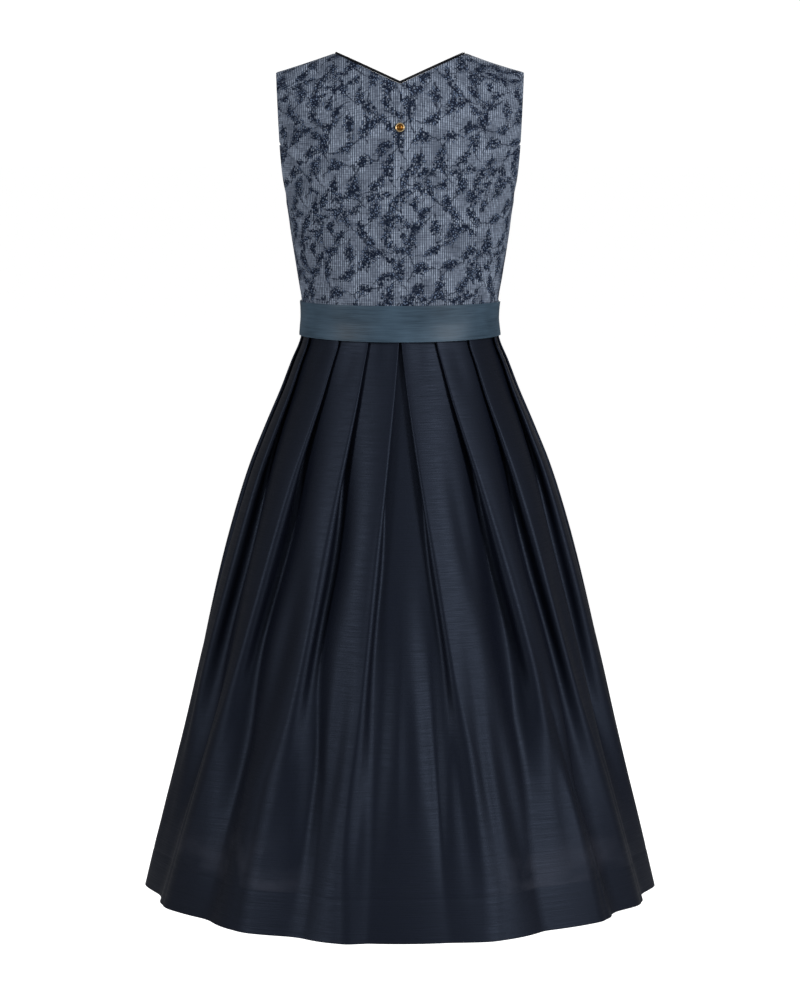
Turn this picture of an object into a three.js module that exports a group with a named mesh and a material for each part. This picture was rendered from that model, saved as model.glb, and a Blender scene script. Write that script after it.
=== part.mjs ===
// A dirndl in its worn, hollow shape: a fitted sleeveless bodice of eight panels, a waistband, and
// a knee-covering skirt laid in knife pleats that turn towards the centre back.
// Millimetres, +Z up. The back of the dress faces -Y and its front faces +Y. The origin lies midway
// between the two shoulder seams, at the height of the neck points, where a wearer holds the dress.

import * as THREE from 'three';

// Driving dimensions
const WAIST_HALF_WIDTH = 122.3;
const WAIST_BACK_DEPTH = 90;
const WAIST_FRONT_DEPTH = 94;
const WAIST_Z = -330;
const HEM_Z = -1049.5;
const HEM_HALF_WIDTH = 326;
const FULL_BACK_Z = -150;
const UNDERARM_Z = -185;
const NECK_HALF_WIDTH = 81;
const FRONT_NECK_CURVE = 1.15;
const BACK_NECK_DROP = 37;
const FRONT_NECK_DROP = 140;
const SEAM_GAP = 0.3;
const BODICE_WALL = 1.5;
const SKIRT_WALL = 1.0;
const HEM_WALL = 1.6;
const HEM_TURN_Z = -1000;

const DEGREE = Math.PI / 180;
const lerp = (a, b, t) => a + (b - a) * t;
const clamp = (v, low, high) => Math.min(high, Math.max(low, v));
const smooth = (t) => t * t * (3 - 2 * t);

// Reads one column of a table at height z, on a smooth cubic through the rows; rows run downwards in z
function column(table, key, z) {
  const last = table.length - 1;
  if (z >= table[0].z) return table[0][key];
  if (z <= table[last].z) return table[last][key];
  const i = table.findIndex((row) => row.z <= z) - 1;
  const slope = (k) => {
    const before = table[Math.max(k - 1, 0)];
    const after = table[Math.min(k + 1, last)];
    return (after[key] - before[key]) / (after.z - before.z);
  };
  const [a, b] = [table[i], table[i + 1]];
  const span = b.z - a.z;
  const t = (z - a.z) / span;
  const [t2, t3] = [t * t, t * t * t];
  return (2 * t3 - 3 * t2 + 1) * a[key] + (t3 - 2 * t2 + t) * span * slope(i)
    + (3 * t2 - 2 * t3) * b[key] + (t3 - t2) * span * slope(i + 1);
}

// Turns a grid of outer points and a grid of inner points into one closed wall
function wallGeometry(outer, inner, outwardFirst = true) {
  const rows = outer.length;
  const cols = outer[0].length;
  const points = [...outer.flat(), ...inner.flat()];
  const at = (side, i, j) => side * rows * cols + i * cols + j;
  const faces = [];
  const quad = (a, b, c, d) => faces.push([a, b, c], [a, c, d]);
  for (let i = 0; i < rows - 1; i++) {
    for (let j = 0; j < cols - 1; j++) {
      quad(at(0, i, j), at(0, i, j + 1), at(0, i + 1, j + 1), at(0, i + 1, j));
      quad(at(1, i, j), at(1, i + 1, j), at(1, i + 1, j + 1), at(1, i, j + 1));
    }
  }
  for (let j = 0; j < cols - 1; j++) {
    quad(at(0, 0, j), at(1, 0, j), at(1, 0, j + 1), at(0, 0, j + 1));
    quad(at(0, rows - 1, j), at(0, rows - 1, j + 1), at(1, rows - 1, j + 1), at(1, rows - 1, j));
  }
  for (let i = 0; i < rows - 1; i++) {
    quad(at(0, i, 0), at(0, i + 1, 0), at(1, i + 1, 0), at(1, i, 0));
    quad(at(0, i, cols - 1), at(1, i, cols - 1), at(1, i + 1, cols - 1), at(0, i + 1, cols - 1));
  }
  const geometry = new THREE.BufferGeometry();
  geometry.setAttribute('position', new THREE.Float32BufferAttribute(points.flatMap((p) => p.toArray()), 3));
  geometry.setIndex((outwardFirst ? faces : faces.map(([a, b, c]) => [a, c, b])).flat());
  geometry.computeVertexNormals();
  return geometry;
}

// Moves one edge of a grid inwards, by half a seam gap measured square to that edge
function pullIn(grid, atEnd, count = grid.length) {
  return grid.map((row, i) => {
    if (i >= count) return row;
    const edge = (r) => r[atEnd ? r.length - 1 : 0];
    const inward = row[atEnd ? row.length - 2 : 1].clone().sub(edge(row)).normalize();
    const along = edge(grid[Math.min(i + 1, grid.length - 1)]).clone().sub(edge(grid[Math.max(i - 1, 0)])).normalize();
    const square = Math.max(0.25, inward.clone().cross(along).length());
    const moved = row.map((p) => p.clone());
    edge(moved).addScaledVector(inward, SEAM_GAP / 2 / square);
    return moved;
  });
}

// Materials
const cloth = (color, roughness) => new THREE.MeshStandardMaterial({ color, roughness, metalness: 0 });
const jacquard = cloth(0x5c6a80, 0.85);
const trim = cloth(0x14161f, 0.6);
const ribbon = cloth(0x3f5568, 0.5);
const taffeta = cloth(0x1a2130, 0.5);
const gilt = new THREE.MeshStandardMaterial({ color: 0xc49a55, roughness: 0.3, metalness: 1 });

const dirndl = new THREE.Group();
function addPiece(name, geometry, material) {
  const mesh = new THREE.Mesh(geometry, material);
  mesh.name = name;
  dirndl.add(mesh);
  return mesh;
}

// The bodice: sections of the figure that it is cut for, from the shoulders down to the waist
const BODY_SECTIONS = [
  { z: 0, halfWidth: 165, backDepth: 98, frontDepth: 116 },
  { z: -60, halfWidth: 162.6, backDepth: 99, frontDepth: 116 },
  { z: -100, halfWidth: 159.6, backDepth: 100, frontDepth: 117 },
  { z: -125, halfWidth: 156.8, backDepth: 100.5, frontDepth: 119 },
  { z: -150, halfWidth: 152.2, backDepth: 101, frontDepth: 122 },
  { z: -185, halfWidth: 141.8, backDepth: 100, frontDepth: 127 },
  { z: -225, halfWidth: 135.8, backDepth: 97, frontDepth: 122 },
  { z: -268, halfWidth: 129.3, backDepth: 93, frontDepth: 106 },
  { z: -308, halfWidth: 123.2, backDepth: 90.5, frontDepth: 95.5 },
  { z: WAIST_Z, halfWidth: WAIST_HALF_WIDTH, backDepth: WAIST_BACK_DEPTH, frontDepth: WAIST_FRONT_DEPTH },
];
// Share of the half width at which a panel ends at the armhole, behind and in front
const ARMHOLE = [
  { z: 0, back: 0.94, front: 0.94 },
  { z: -60, back: 0.935, front: 0.915 },
  { z: -100, back: 0.94, front: 0.905 },
  { z: -125, back: 0.947, front: 0.918 },
  { z: -150, back: 0.96, front: 0.945 },
  { z: -170, back: 0.981, front: 0.976 },
  { z: -180, back: 0.995, front: 0.993 },
  { z: UNDERARM_Z, back: 1, front: 1 },
];
// Share of the half width at which the curved side seams of the centre panels run
const PANEL_SEAM = [
  { z: -108, back: 0.93, front: 0.895 },
  { z: -125, back: 0.86, front: 0.8 },
  { z: -145, back: 0.775, front: 0.69 },
  { z: -170, back: 0.715, front: 0.6 },
  { z: -205, back: 0.69, front: 0.56 },
  { z: -260, back: 0.715, front: 0.57 },
  { z: WAIST_Z, back: 0.76, front: 0.585 },
];
const BUST = { x: 72, z: -205, width: 40, height: 46, rise: 9 };
const SHOULDER = { top: 38.85, fall: 0.526, ease: 0.0008, round: 25, setBack: 4, roll: 0.8, tip: -22 };
const LOWEST_LIFT = WAIST_Z - FULL_BACK_Z;
const RIDGE_LIFT = 90;

// Height of the shoulder ridge above a point that lies x from the middle
function ridgeHeight(x) {
  const away = Math.hypot(x, SHOULDER.round);
  return SHOULDER.top - SHOULDER.fall * away + SHOULDER.ease * away * away;
}

// Height that a row has at the panel's outer edge. Above the fullest level, lift is the angle in
// degrees by which the row has climbed over the shoulder; below it, lift is minus the drop in mm.
function rowHeight(lift) {
  return lift <= 0 ? FULL_BACK_Z + lift : lerp(FULL_BACK_Z, SHOULDER.tip, Math.sin(lift * DEGREE));
}

// A point of the bodice's outer surface. Turn is the angle round the figure from the middle of the
// back or front, in radians; face is back or front.
function bodicePoint(face, turn, lift) {
  const z = rowHeight(lift);
  const x = column(BODY_SECTIONS, 'halfWidth', z) * Math.sin(turn);
  const over = Math.max(lift, 0) * DEGREE;
  const keep = Math.cos(over) ** SHOULDER.roll;
  const height = lift <= 0 ? z : FULL_BACK_Z + (ridgeHeight(x) - FULL_BACK_Z) * Math.sin(over);
  const reach = column(BODY_SECTIONS, face + 'Depth', z) * Math.cos(turn) * keep;
  if (face === 'back') return new THREE.Vector3(x, SHOULDER.setBack * (1 - keep) - reach, height);
  const near = ((Math.abs(x) - BUST.x) / BUST.width) ** 2 + ((height - BUST.z) / BUST.height) ** 2;
  return new THREE.Vector3(x, SHOULDER.setBack * (1 - keep) + reach + BUST.rise * Math.exp(-near), height);
}

// The turn at which x is this share of the half width
const turnOf = (share) => Math.asin(clamp(share, -1, 1));

// Outward normal of the bodice, by small steps along both directions
function bodiceNormal(face, turn, lift) {
  const [dt, dl] = [0.004, 0.4];
  const low = bodicePoint(face, turn - dt, lift);
  const high = bodicePoint(face, turn + dt, lift);
  const under = bodicePoint(face, turn, Math.max(lift - dl, LOWEST_LIFT));
  const above = bodicePoint(face, turn, Math.min(lift + dl, RIDGE_LIFT - dl / 2));
  const normal = high.sub(low).cross(above.sub(under)).normalize();
  return face === 'back' ? normal : normal.negate();
}

// Where a neckline meets its surface: x from the middle, and the lift at which it passes there
function necklineEnd(face, along) {
  const x = NECK_HALF_WIDTH * along;
  const drop = face === 'back' ? BACK_NECK_DROP : FRONT_NECK_DROP;
  const curve = face === 'back' ? along : along ** FRONT_NECK_CURVE;
  const z = lerp(-drop, ridgeHeight(NECK_HALF_WIDTH), curve);
  const sine = (z - FULL_BACK_Z) / (ridgeHeight(x) - FULL_BACK_Z);
  const lift = Math.asin(clamp(sine, 0, 1)) / DEGREE;
  return { lift, turn: turnOf(x / column(BODY_SECTIONS, 'halfWidth', rowHeight(lift))) };
}

const LOW_ROWS = [WAIST_Z, -308, -284, -257, -230, -205, UNDERARM_Z, -180, -170, -157];
const TIP_LIFT = 18;
const TIP_GAP = 1;

// Lifts of all rows of a panel, with one of them moved to the foot of the neckline
const rowLifts = (neckLift) => {
  const low = LOW_ROWS.map((z) => z - FULL_BACK_Z);
  const high = [9, TIP_LIFT, 28, 39, 52, 65, 77, 85, RIDGE_LIFT];
  return [...low, ...high.map((lift) => (Math.abs(lift - neckLift) < 6 ? neckLift : lift))];
};

// Where the rows of a bodice panel start and end. A side panel runs out to a point below the
// armhole, just short of the centre panel's edge.
function bodiceRows(face, part) {
  const neckLift = necklineEnd(face, 0).lift;
  const armhole = (lift) => turnOf(column(ARMHOLE, face, rowHeight(lift)));
  const seam = (lift) => turnOf(column(PANEL_SEAM, face, rowHeight(lift)));
  const rows = [];
  for (const [i, lift] of rowLifts(neckLift).entries()) {
    if (part === 'side') {
      if (lift < TIP_LIFT) rows.push({ lift, start: seam(lift), end: armhole(lift) });
      if (lift === TIP_LIFT) {
        const foot = rowLifts(neckLift)[i - 1];
        const top = TIP_LIFT - TIP_GAP;
        const start = lerp(seam(foot), armhole(TIP_LIFT), (top - foot) / (TIP_LIFT - foot));
        rows.push({ lift: top, start, end: armhole(top) });
      }
      continue;
    }
    const end = lift < TIP_LIFT ? seam(lift) : armhole(lift);
    if (lift <= neckLift) rows.push({ lift, start: 0, end });
    else {
      const along = (lift - neckLift) / (RIDGE_LIFT - neckLift);
      const neck = necklineEnd(face, along);
      rows.push({ lift, start: neck.turn, startLift: neck.lift, end });
    }
  }
  return rows;
}

// One bodice panel as a wall: its outer surface, and the same points moved in along the normal
const PANEL_COLUMNS = { centre: 6, side: 3 };
function bodicePanel(name, face, part, side) {
  const columns = PANEL_COLUMNS[part];
  const outer = [];
  const inner = [];
  for (const row of bodiceRows(face, part)) {
    const line = [];
    const back = [];
    for (let j = 0; j <= columns; j++) {
      const turn = lerp(row.start, row.end, j / columns);
      const lift = lerp(row.startLift ?? row.lift, row.lift, j / columns);
      const point = bodicePoint(face, turn, lift);
      const behind = point.clone().addScaledVector(bodiceNormal(face, turn, lift), -BODICE_WALL);
      line.push(point);
      back.push(behind);
    }
    outer.push(line);
    inner.push(back);
  }
  const necklineStart = bodiceRows(face, part).findIndex((row) => row.startLift !== undefined);
  const seamRows = part === 'side' ? outer.length : LOW_ROWS.length + 1;
  const [front, rear] = [outer, inner].map((grid) => {
    const started = pullIn(grid, false, necklineStart < 0 ? grid.length : necklineStart);
    return pullIn(started, true, seamRows);
  });
  if (part !== 'side') {
    const top = front.length - 1;
    for (const grid of [front, rear]) {
      for (const [j, p] of grid[top].entries()) {
        const down = grid[top - 1][j].clone().sub(p).normalize();
        p.addScaledVector(down, SEAM_GAP / 2);
      }
    }
  }
  const place = (grid) => grid.map((row) => row.map((p) => new THREE.Vector3(side * p.x, p.y, p.z)));
  const outward = (face === 'back') === (side > 0);
  addPiece(name, wallGeometry(place(front), place(rear), outward), jacquard);
}

for (const [sideName, side] of [['left', -1], ['right', 1]]) {
  bodicePanel(`back_${sideName}`, 'back', 'centre', side);
  bodicePanel(`side_back_${sideName}`, 'back', 'side', side);
  bodicePanel(`front_${sideName}`, 'front', 'centre', side);
  bodicePanel(`side_front_${sideName}`, 'front', 'side', side);
}

// Neck binding: a round piping along the neckline, just clear of the panels' edges
const PIPING_RADIUS = 1.6;
const PIPING_SIDES = 8;
function pipingRing(face, along) {
  const neck = necklineEnd(face, along);
  const normal = bodiceNormal(face, neck.turn, neck.lift);
  const edge = bodicePoint(face, neck.turn, neck.lift).addScaledVector(normal, -BODICE_WALL / 2);
  const next = necklineEnd(face, along < 0.5 ? along + 0.02 : along - 0.02);
  const forward = bodicePoint(face, next.turn, next.lift);
  forward.sub(bodicePoint(face, neck.turn, neck.lift)).multiplyScalar(along < 0.5 ? 1 : -1).normalize();
  const away = normal.clone().cross(forward).normalize();
  if (away.z < 0) away.negate();
  if (along === 0) {
    away.setX(0);
    away.multiplyScalar(1 / away.lengthSq());
    normal.setX(0).normalize();
  }
  const centre = edge.addScaledVector(away, PIPING_RADIUS + SEAM_GAP);
  const ring = [];
  for (let k = 0; k < PIPING_SIDES; k++) {
    const angle = (k / PIPING_SIDES) * 2 * Math.PI;
    const p = centre.clone().addScaledVector(away, PIPING_RADIUS * Math.cos(angle));
    p.addScaledVector(normal, PIPING_RADIUS * Math.sin(angle));
    ring.push(p);
  }
  return ring;
}

// Joins rings of points into a closed rod with flat ends
function rodGeometry(rings) {
  const count = rings[0].length;
  const faces = [];
  const at = (i, k) => i * count + (k % count);
  for (let i = 0; i < rings.length - 1; i++) {
    for (let k = 0; k < count; k++) {
      faces.push(at(i, k), at(i, k + 1), at(i + 1, k + 1), at(i, k), at(i + 1, k + 1), at(i + 1, k));
    }
  }
  for (let k = 1; k < count - 1; k++) {
    faces.push(0, k + 1, k, at(rings.length - 1, 0), at(rings.length - 1, k), at(rings.length - 1, k + 1));
  }
  const geometry = new THREE.BufferGeometry();
  geometry.setAttribute('position', new THREE.Float32BufferAttribute(rings.flat().flatMap((p) => p.toArray()), 3));
  const volume = signedVolume(rings.flat(), faces);
  if (volume < 0) {
    for (let f = 0; f < faces.length; f += 3) [faces[f + 1], faces[f + 2]] = [faces[f + 2], faces[f + 1]];
  }
  geometry.setIndex(faces);
  geometry.computeVertexNormals();
  return geometry;
}
function signedVolume(points, faces) {
  let sum = 0;
  for (let f = 0; f < faces.length; f += 3) {
    const [a, b, c] = [0, 1, 2].map((k) => points[faces[f + k]]);
    sum += a.dot(b.clone().cross(c));
  }
  return sum / 6;
}

for (const face of ['back', 'front']) {
  const foot = necklineEnd(face, 0).lift;
  const steps = rowLifts(foot).filter((lift) => lift >= foot).map((lift) => (lift - foot) / (RIDGE_LIFT - foot));
  const right = steps.map((along) => pipingRing(face, along));
  const [end, before] = [right[right.length - 1], right[right.length - 2]];
  right[right.length - 1] = end.map((p, k) => p.lerp(before[k], SEAM_GAP / p.distanceTo(before[k])));
  const left = right.slice(1).map((ring) => ring.map((p) => new THREE.Vector3(-p.x, p.y, p.z)));
  addPiece(`neck_binding_${face}`, rodGeometry([...left.reverse(), ...right]), trim);
}

// The skirt: the outline that the pleats' ridges touch, from the waist seam to the hem
const SKIRT_SECTIONS = [
  { z: WAIST_Z, halfWidth: WAIST_HALF_WIDTH, backDepth: WAIST_BACK_DEPTH, frontDepth: WAIST_FRONT_DEPTH },
  { z: -355, halfWidth: 125.2, backDepth: 94, frontDepth: 97 },
  { z: -382, halfWidth: 136.5, backDepth: 104, frontDepth: 106 },
  { z: -418, halfWidth: 150.5, backDepth: 119, frontDepth: 119 },
  { z: -462, halfWidth: 169.5, backDepth: 137, frontDepth: 134 },
  { z: -515, halfWidth: 191, backDepth: 158, frontDepth: 152 },
  { z: -580, halfWidth: 212, backDepth: 183, frontDepth: 174 },
  { z: -660, halfWidth: 234.5, backDepth: 210, frontDepth: 197 },
  { z: -750, halfWidth: 257.5, backDepth: 236, frontDepth: 222 },
  { z: -850, halfWidth: 280.5, backDepth: 263, frontDepth: 248 },
  { z: -950, halfWidth: 304, backDepth: 290, frontDepth: 273 },
  { z: HEM_Z, halfWidth: HEM_HALF_WIDTH, backDepth: 321, frontDepth: 298 },
];
// Each pleat's ridge, as its angle round the dress from the centre back at the waist, half way down
// and at the hem, and how deep the valley in front of it is half way down and at the hem
const PLEATS = {
  left: [
    { waist: 0, half: 8.5, hem: 12, fold: 15, wave: 8 },
    { waist: 18, half: 26.5, hem: 36, fold: 22, wave: 12 },
    { waist: 37, half: 49, hem: 63, fold: 24, wave: 13 },
    { waist: 67, half: 69, hem: 85, fold: 21, wave: 12 },
    { waist: 91, half: 97, hem: 109, fold: 20, wave: 12 },
    { waist: 114, half: 122, hem: 134, fold: 20, wave: 12 },
    { waist: 137, half: 146, hem: 158, fold: 18, wave: 10 },
  ],
  right: [
    { waist: 0, half: 13, hem: 20, fold: 15, wave: 8 },
    { waist: 20, half: 38, hem: 49, fold: 24, wave: 14 },
    { waist: 43, half: 53.5, hem: 66, fold: 21, wave: 11 },
    { waist: 73, half: 73, hem: 84, fold: 20, wave: 11 },
    { waist: 93, half: 96, hem: 105, fold: 18, wave: 12 },
    { waist: 115, half: 122, hem: 133, fold: 20, wave: 12 },
    { waist: 137, half: 146, hem: 157, fold: 18, wave: 12 },
  ],
};
// A pleat's depth is how far its valley lies beyond its ridge. Once the pleat has opened, the valley lies
// before it, at the hem by a share of the pitch between two ridges, and never by more than the most open share.
const PLEAT_DEPTH = 26;
const STACK_HEIGHT = 6.6;
const HALF_WAY_DEPTH = -5;
const WAVE_SHARE = 0.5;
const MOST_OPEN_SHARE = 0.55;
const OPENING_LEAD = 0.85;
// Radii of the bends at three heights, and how far apart two of them lie as a share of their radii
const BEND = { waist: 0.75, middle: 8, hem: 70, room: 1.04 };
const SKIRT_ROWS = [WAIST_Z - SEAM_GAP, -355, -382, -418, -462, -515, -580, -660, -750, -850, -950, HEM_TURN_Z + 4, HEM_TURN_Z, HEM_Z];
const ARC_STEPS = 2;
const PANEL_STEPS = 4;
const RETURN_STEPS = 2;
const RING_STEPS = 120;
const HALVINGS = 16;
const RIDGE = -SKIRT_WALL / 2;

// Half of the outline ring at height z: angle, running length, and the point with its normal
function halfRing(z) {
  const [a, back, front] = ['halfWidth', 'backDepth', 'frontDepth'].map((key) => column(SKIRT_SECTIONS, key, z));
  const depth = (angle) => (Math.cos(angle) > 0 ? back : front);
  const lengths = [0];
  for (let i = 1; i <= RING_STEPS; i++) {
    const angle = ((i - 0.5) / RING_STEPS) * Math.PI;
    const speed = Math.hypot(a * Math.cos(angle), depth(angle) * Math.sin(angle));
    lengths.push(lengths[i - 1] + (speed * Math.PI) / RING_STEPS);
  }
  const lengthAt = (angle) => {
    const f = (angle / Math.PI) * RING_STEPS;
    const i = clamp(Math.floor(f), 0, RING_STEPS - 1);
    return lerp(lengths[i], lengths[i + 1], f - i);
  };
  const place = (length, out, side) => {
    let i = lengths.findIndex((l) => l > length) - 1;
    if (i < 0) i = length < 0 ? 0 : RING_STEPS - 1;
    const angle = ((i + (length - lengths[i]) / (lengths[i + 1] - lengths[i])) / RING_STEPS) * Math.PI;
    const b = depth(angle);
    const point = new THREE.Vector3(a * Math.sin(angle), -b * Math.cos(angle), z);
    const normal = new THREE.Vector3(b * Math.sin(angle), -a * Math.cos(angle), 0).normalize();
    point.addScaledVector(normal, out);
    return new THREE.Vector3(side * point.x, point.y, z);
  };
  return { lengthAt, place, total: lengths[RING_STEPS] };
}

// Angle of a ridge at descent t, on the parabola through its three stated angles
const ridgeAngle = (pleat, t) => pleat.waist * (1 - t) * (1 - 2 * t) + pleat.half * 4 * t * (1 - t) + pleat.hem * t * (2 * t - 1);

// How far a row has come from the waist, at 0, to the hem, at 1
const descent = (z) => clamp((WAIST_Z - z) / (WAIST_Z - HEM_Z), 0, 1);
const threeWay = (top, mid, low, t) => (t < 0.5 ? lerp(top, mid, smooth(t * 2)) : lerp(mid, low, smooth(t * 2 - 1)));

// Largest value from low to high that passes a test, found by halving the interval
function largest(low, high, passes) {
  if (passes(high)) return high;
  for (let i = 0; i < HALVINGS; i++) {
    const middle = (low + high) / 2;
    if (passes(middle)) low = middle;
    else high = middle;
  }
  return low;
}

// The bends of one half of a skirt row, a valley and a ridge for each pleat, in ring length and distance
// out. A pleat's two bends are as round as the narrowest gap beside them allows for two equal bends.
function bendsOf(z, side, ring) {
  const t = descent(z);
  const bendLimit = threeWay(BEND.waist, BEND.middle, BEND.hem, t);
  const opening = t ** OPENING_LEAD;
  const spot = (pleat) => Math.max(ring.lengthAt(ridgeAngle(pleat, t) * DEGREE), SKIRT_WALL / 2 + SEAM_GAP);
  const pairs = PLEATS[side].map((pleat, k) => {
    const at = spot(pleat);
    const pitch = k === 0 ? at : at - spot(PLEATS[side][k - 1]);
    const height = threeWay(STACK_HEIGHT, pleat.fold, pleat.wave, opening);
    const opened = threeWay(PLEAT_DEPTH, HALF_WAY_DEPTH, -WAVE_SHARE * pitch, opening);
    const depth = Math.max(opened, -MOST_OPEN_SHARE * pitch);
    return (r) => [
      { s: at + depth - r * (1 - t), n: RIDGE - height + r, r, turn: 1 },
      { s: at + r * (1 - t), n: RIDGE - r, r, turn: -1 },
    ];
  });
  const clear = (from, to) => Math.hypot(to.s - from.s, to.n - from.n) > BEND.room * (from.r + to.r);
  const roundest = (passes) => largest(BEND.waist, bendLimit, passes);
  const within = pairs.map((pair) => roundest((r) => clear(...pair(r))));
  const before = pairs.map((pair, k) => roundest((r) => {
    const valley = pair(r)[0];
    return k === 0 ? valley.s > SKIRT_WALL : clear(pairs[k - 1](r)[1], valley);
  }));
  return pairs.flatMap((pair, k) => pair(Math.min(within[k], before[k], before[k + 1] ?? bendLimit)));
}

// Path of one half of a skirt row: its round bends, joined by their common tangents
function halfPath(z, side) {
  const ring = halfRing(z);
  const bends = bendsOf(z, side, ring);
  const heading = [];
  for (let i = 0; i < bends.length - 1; i++) {
    const [from, to] = [bends[i], bends[i + 1]];
    const [ds, dn] = [to.s - from.s, to.n - from.n];
    const straight = Math.sqrt(Math.max(0, ds * ds + dn * dn - (from.r + to.r) ** 2));
    heading.push(Math.atan2(dn, ds) + from.turn * Math.atan2(from.r + to.r, straight));
  }
  const unwrap = (angle, near) => near + ((((angle - near + Math.PI) % (2 * Math.PI)) + 2 * Math.PI) % (2 * Math.PI)) - Math.PI;
  const path = [{ s: 0, n: bends[0].n - bends[0].r, heading: 0 }];
  const line = (to, steps) => {
    const from = path[path.length - 1];
    for (let i = 1; i < steps; i++) {
      path.push({ s: lerp(from.s, to.s, i / steps), n: lerp(from.n, to.n, i / steps), heading: to.heading });
    }
  };
  for (const [i, bend] of bends.entries()) {
    const comes = i === 0 ? 0 : heading[i - 1];
    const middleTurn = comes + bend.turn * Math.PI / 2;
    const goes = i === bends.length - 1 ? unwrap(0, middleTurn) : unwrap(heading[i], middleTurn);
    const onBend = (angle) => ({
      s: bend.s + bend.turn * bend.r * Math.sin(angle), n: bend.n - bend.turn * bend.r * Math.cos(angle), heading: angle,
    });
    line(onBend(comes), bend.turn > 0 ? PANEL_STEPS : RETURN_STEPS);
    for (let a = 0; a <= ARC_STEPS; a++) path.push(onBend(lerp(comes, goes, a / ARC_STEPS)));
  }
  line({ s: ring.total, n: RIDGE, heading: 0 }, PANEL_STEPS);
  path.push({ s: ring.total, n: RIDGE, heading: 0 });
  const wall = z <= HEM_TURN_Z ? HEM_WALL : SKIRT_WALL;
  return path.map((p) => {
    const shift = (out) => ring.place(p.s - Math.sin(p.heading) * out, p.n + Math.cos(p.heading) * out, side === 'right' ? 1 : -1);
    return { outer: shift(SKIRT_WALL / 2), inner: shift(SKIRT_WALL / 2 - wall) };
  });
}

// The side seams lie on the visible panel behind the fourth ridge of each side
const POINTS_PER_PLEAT = 2 * (ARC_STEPS + 1) + PANEL_STEPS - 1 + RETURN_STEPS - 1;
const SIDE_SEAM = 4 * POINTS_PER_PLEAT + 2;
function skirtPanel(name, choose) {
  const [outer, inner] = [[], []];
  for (const z of SKIRT_ROWS) {
    const line = choose(halfPath(z, 'left'), halfPath(z, 'right'));
    outer.push(line.map((p) => p.outer));
    inner.push(line.map((p) => p.inner));
  }
  const [front, rear] = [outer, inner].map((grid) => pullIn(pullIn(grid, false), true));
  addPiece(name, wallGeometry(front, rear, false), taffeta);
}
skirtPanel('skirt_back', (left, right) => [
  ...left.slice(1, SIDE_SEAM + 1).reverse(), ...right.slice(0, SIDE_SEAM + 1),
]);
skirtPanel('skirt_front', (left, right) => [
  ...right.slice(SIDE_SEAM, -1), ...left.slice(SIDE_SEAM).reverse(),
]);

// The waistband: a ribbon that lies round the waist seam, its end lapped over its start in front
const BAND = { top: -307, bottom: -349.5, wall: 1.5, dip: 2, steps: 84, rows: 3, stand: 0.8 };
const LAP = { degrees: 12, from: 0.95, ramp: 0.018 };
function bandRow(share, out) {
  const line = [];
  for (let i = 0; i <= BAND.steps; i++) {
    const along = i / BAND.steps;
    const angle = (along * (360 + LAP.degrees) - 180 - LAP.degrees / 2) * DEGREE;
    const z = lerp(BAND.top, BAND.bottom, share) - share * BAND.dip * Math.max(0, Math.cos(angle)) ** 2;
    const [a, back, front] = ['halfWidth', 'backDepth', 'frontDepth'].map((key) => Math.max(
      column(BODY_SECTIONS, key, z), column(SKIRT_SECTIONS, key, z),
    ));
    const b = Math.cos(angle) > 0 ? back : front;
    const lap = smooth(clamp((along - LAP.from) / LAP.ramp, 0, 1)) * (BAND.wall + SEAM_GAP);
    const normal = new THREE.Vector3(b * Math.sin(angle), -a * Math.cos(angle), 0).normalize();
    const point = new THREE.Vector3(a * Math.sin(angle), -b * Math.cos(angle), z);
    line.push(point.addScaledVector(normal, BAND.stand + lap + out));
  }
  return line;
}
const bandShares = [...Array(BAND.rows).keys()].map((k) => k / (BAND.rows - 1));
addPiece('waistband', wallGeometry(bandShares.map((s) => bandRow(s, BAND.wall)),
  bandShares.map((s) => bandRow(s, 0)), false), ribbon);

// The placket: a narrow strip down the centre front, with the buttons sewn on it
const PLACKET = { halfWidth: 11, top: 1.2, wall: 1.2, columns: 4, stand: 0.6 };
const placketLifts = [...[-284, -257, -230, -205, UNDERARM_Z, -170].map((z) => z - FULL_BACK_Z), PLACKET.top];
function placketRow(lift, out) {
  const width = column(BODY_SECTIONS, 'halfWidth', rowHeight(lift));
  return [...Array(PLACKET.columns + 1).keys()].map((j) => {
    const turn = turnOf((PLACKET.halfWidth * (2 * j / PLACKET.columns - 1)) / width);
    return bodicePoint('front', turn, lift).addScaledVector(bodiceNormal('front', turn, lift), out);
  });
}
const placketRows = [BAND.top + 1 - FULL_BACK_Z, ...placketLifts];
addPiece('front_placket', wallGeometry(placketRows.map((lift) => placketRow(lift, PLACKET.stand + PLACKET.wall)),
  placketRows.map((lift) => placketRow(lift, PLACKET.stand)), false), jacquard);

// Domed round metal pieces: six buttons on the placket and a small stud below the back neck
function dome(radius, thickness) {
  const rim = thickness * 0.45;
  const profile = [[0, 0], [radius * 0.92, 0], [radius, rim * 0.5], [radius * 0.93, rim], [radius * 0.55, thickness * 0.9], [0, thickness]];
  return new THREE.LatheGeometry(profile.map(([r, h]) => new THREE.Vector2(r, h)), 12);
}
function seatDome(name, radius, thickness, face, lift, stand) {
  const normal = bodiceNormal(face, 0, lift);
  const mesh = addPiece(name, dome(radius, thickness), gilt);
  mesh.quaternion.setFromUnitVectors(new THREE.Vector3(0, 1, 0), normal);
  mesh.position.copy(bodicePoint(face, 0, lift)).addScaledVector(normal, stand);
}
const BUTTONS = { count: 6, top: -163, bottom: -293, radius: 5.5, thickness: 3 };
for (let k = 0; k < BUTTONS.count; k++) {
  const z = lerp(BUTTONS.top, BUTTONS.bottom, k / (BUTTONS.count - 1));
  const onPlacket = PLACKET.stand + PLACKET.wall + 2 * SEAM_GAP;
  seatDome(`button_${k + 1}`, BUTTONS.radius, BUTTONS.thickness, 'front', z - FULL_BACK_Z, onPlacket);
}
const STUD = { radius: 5.8, thickness: 2.6, lift: 20, stand: 0.45 };
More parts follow.
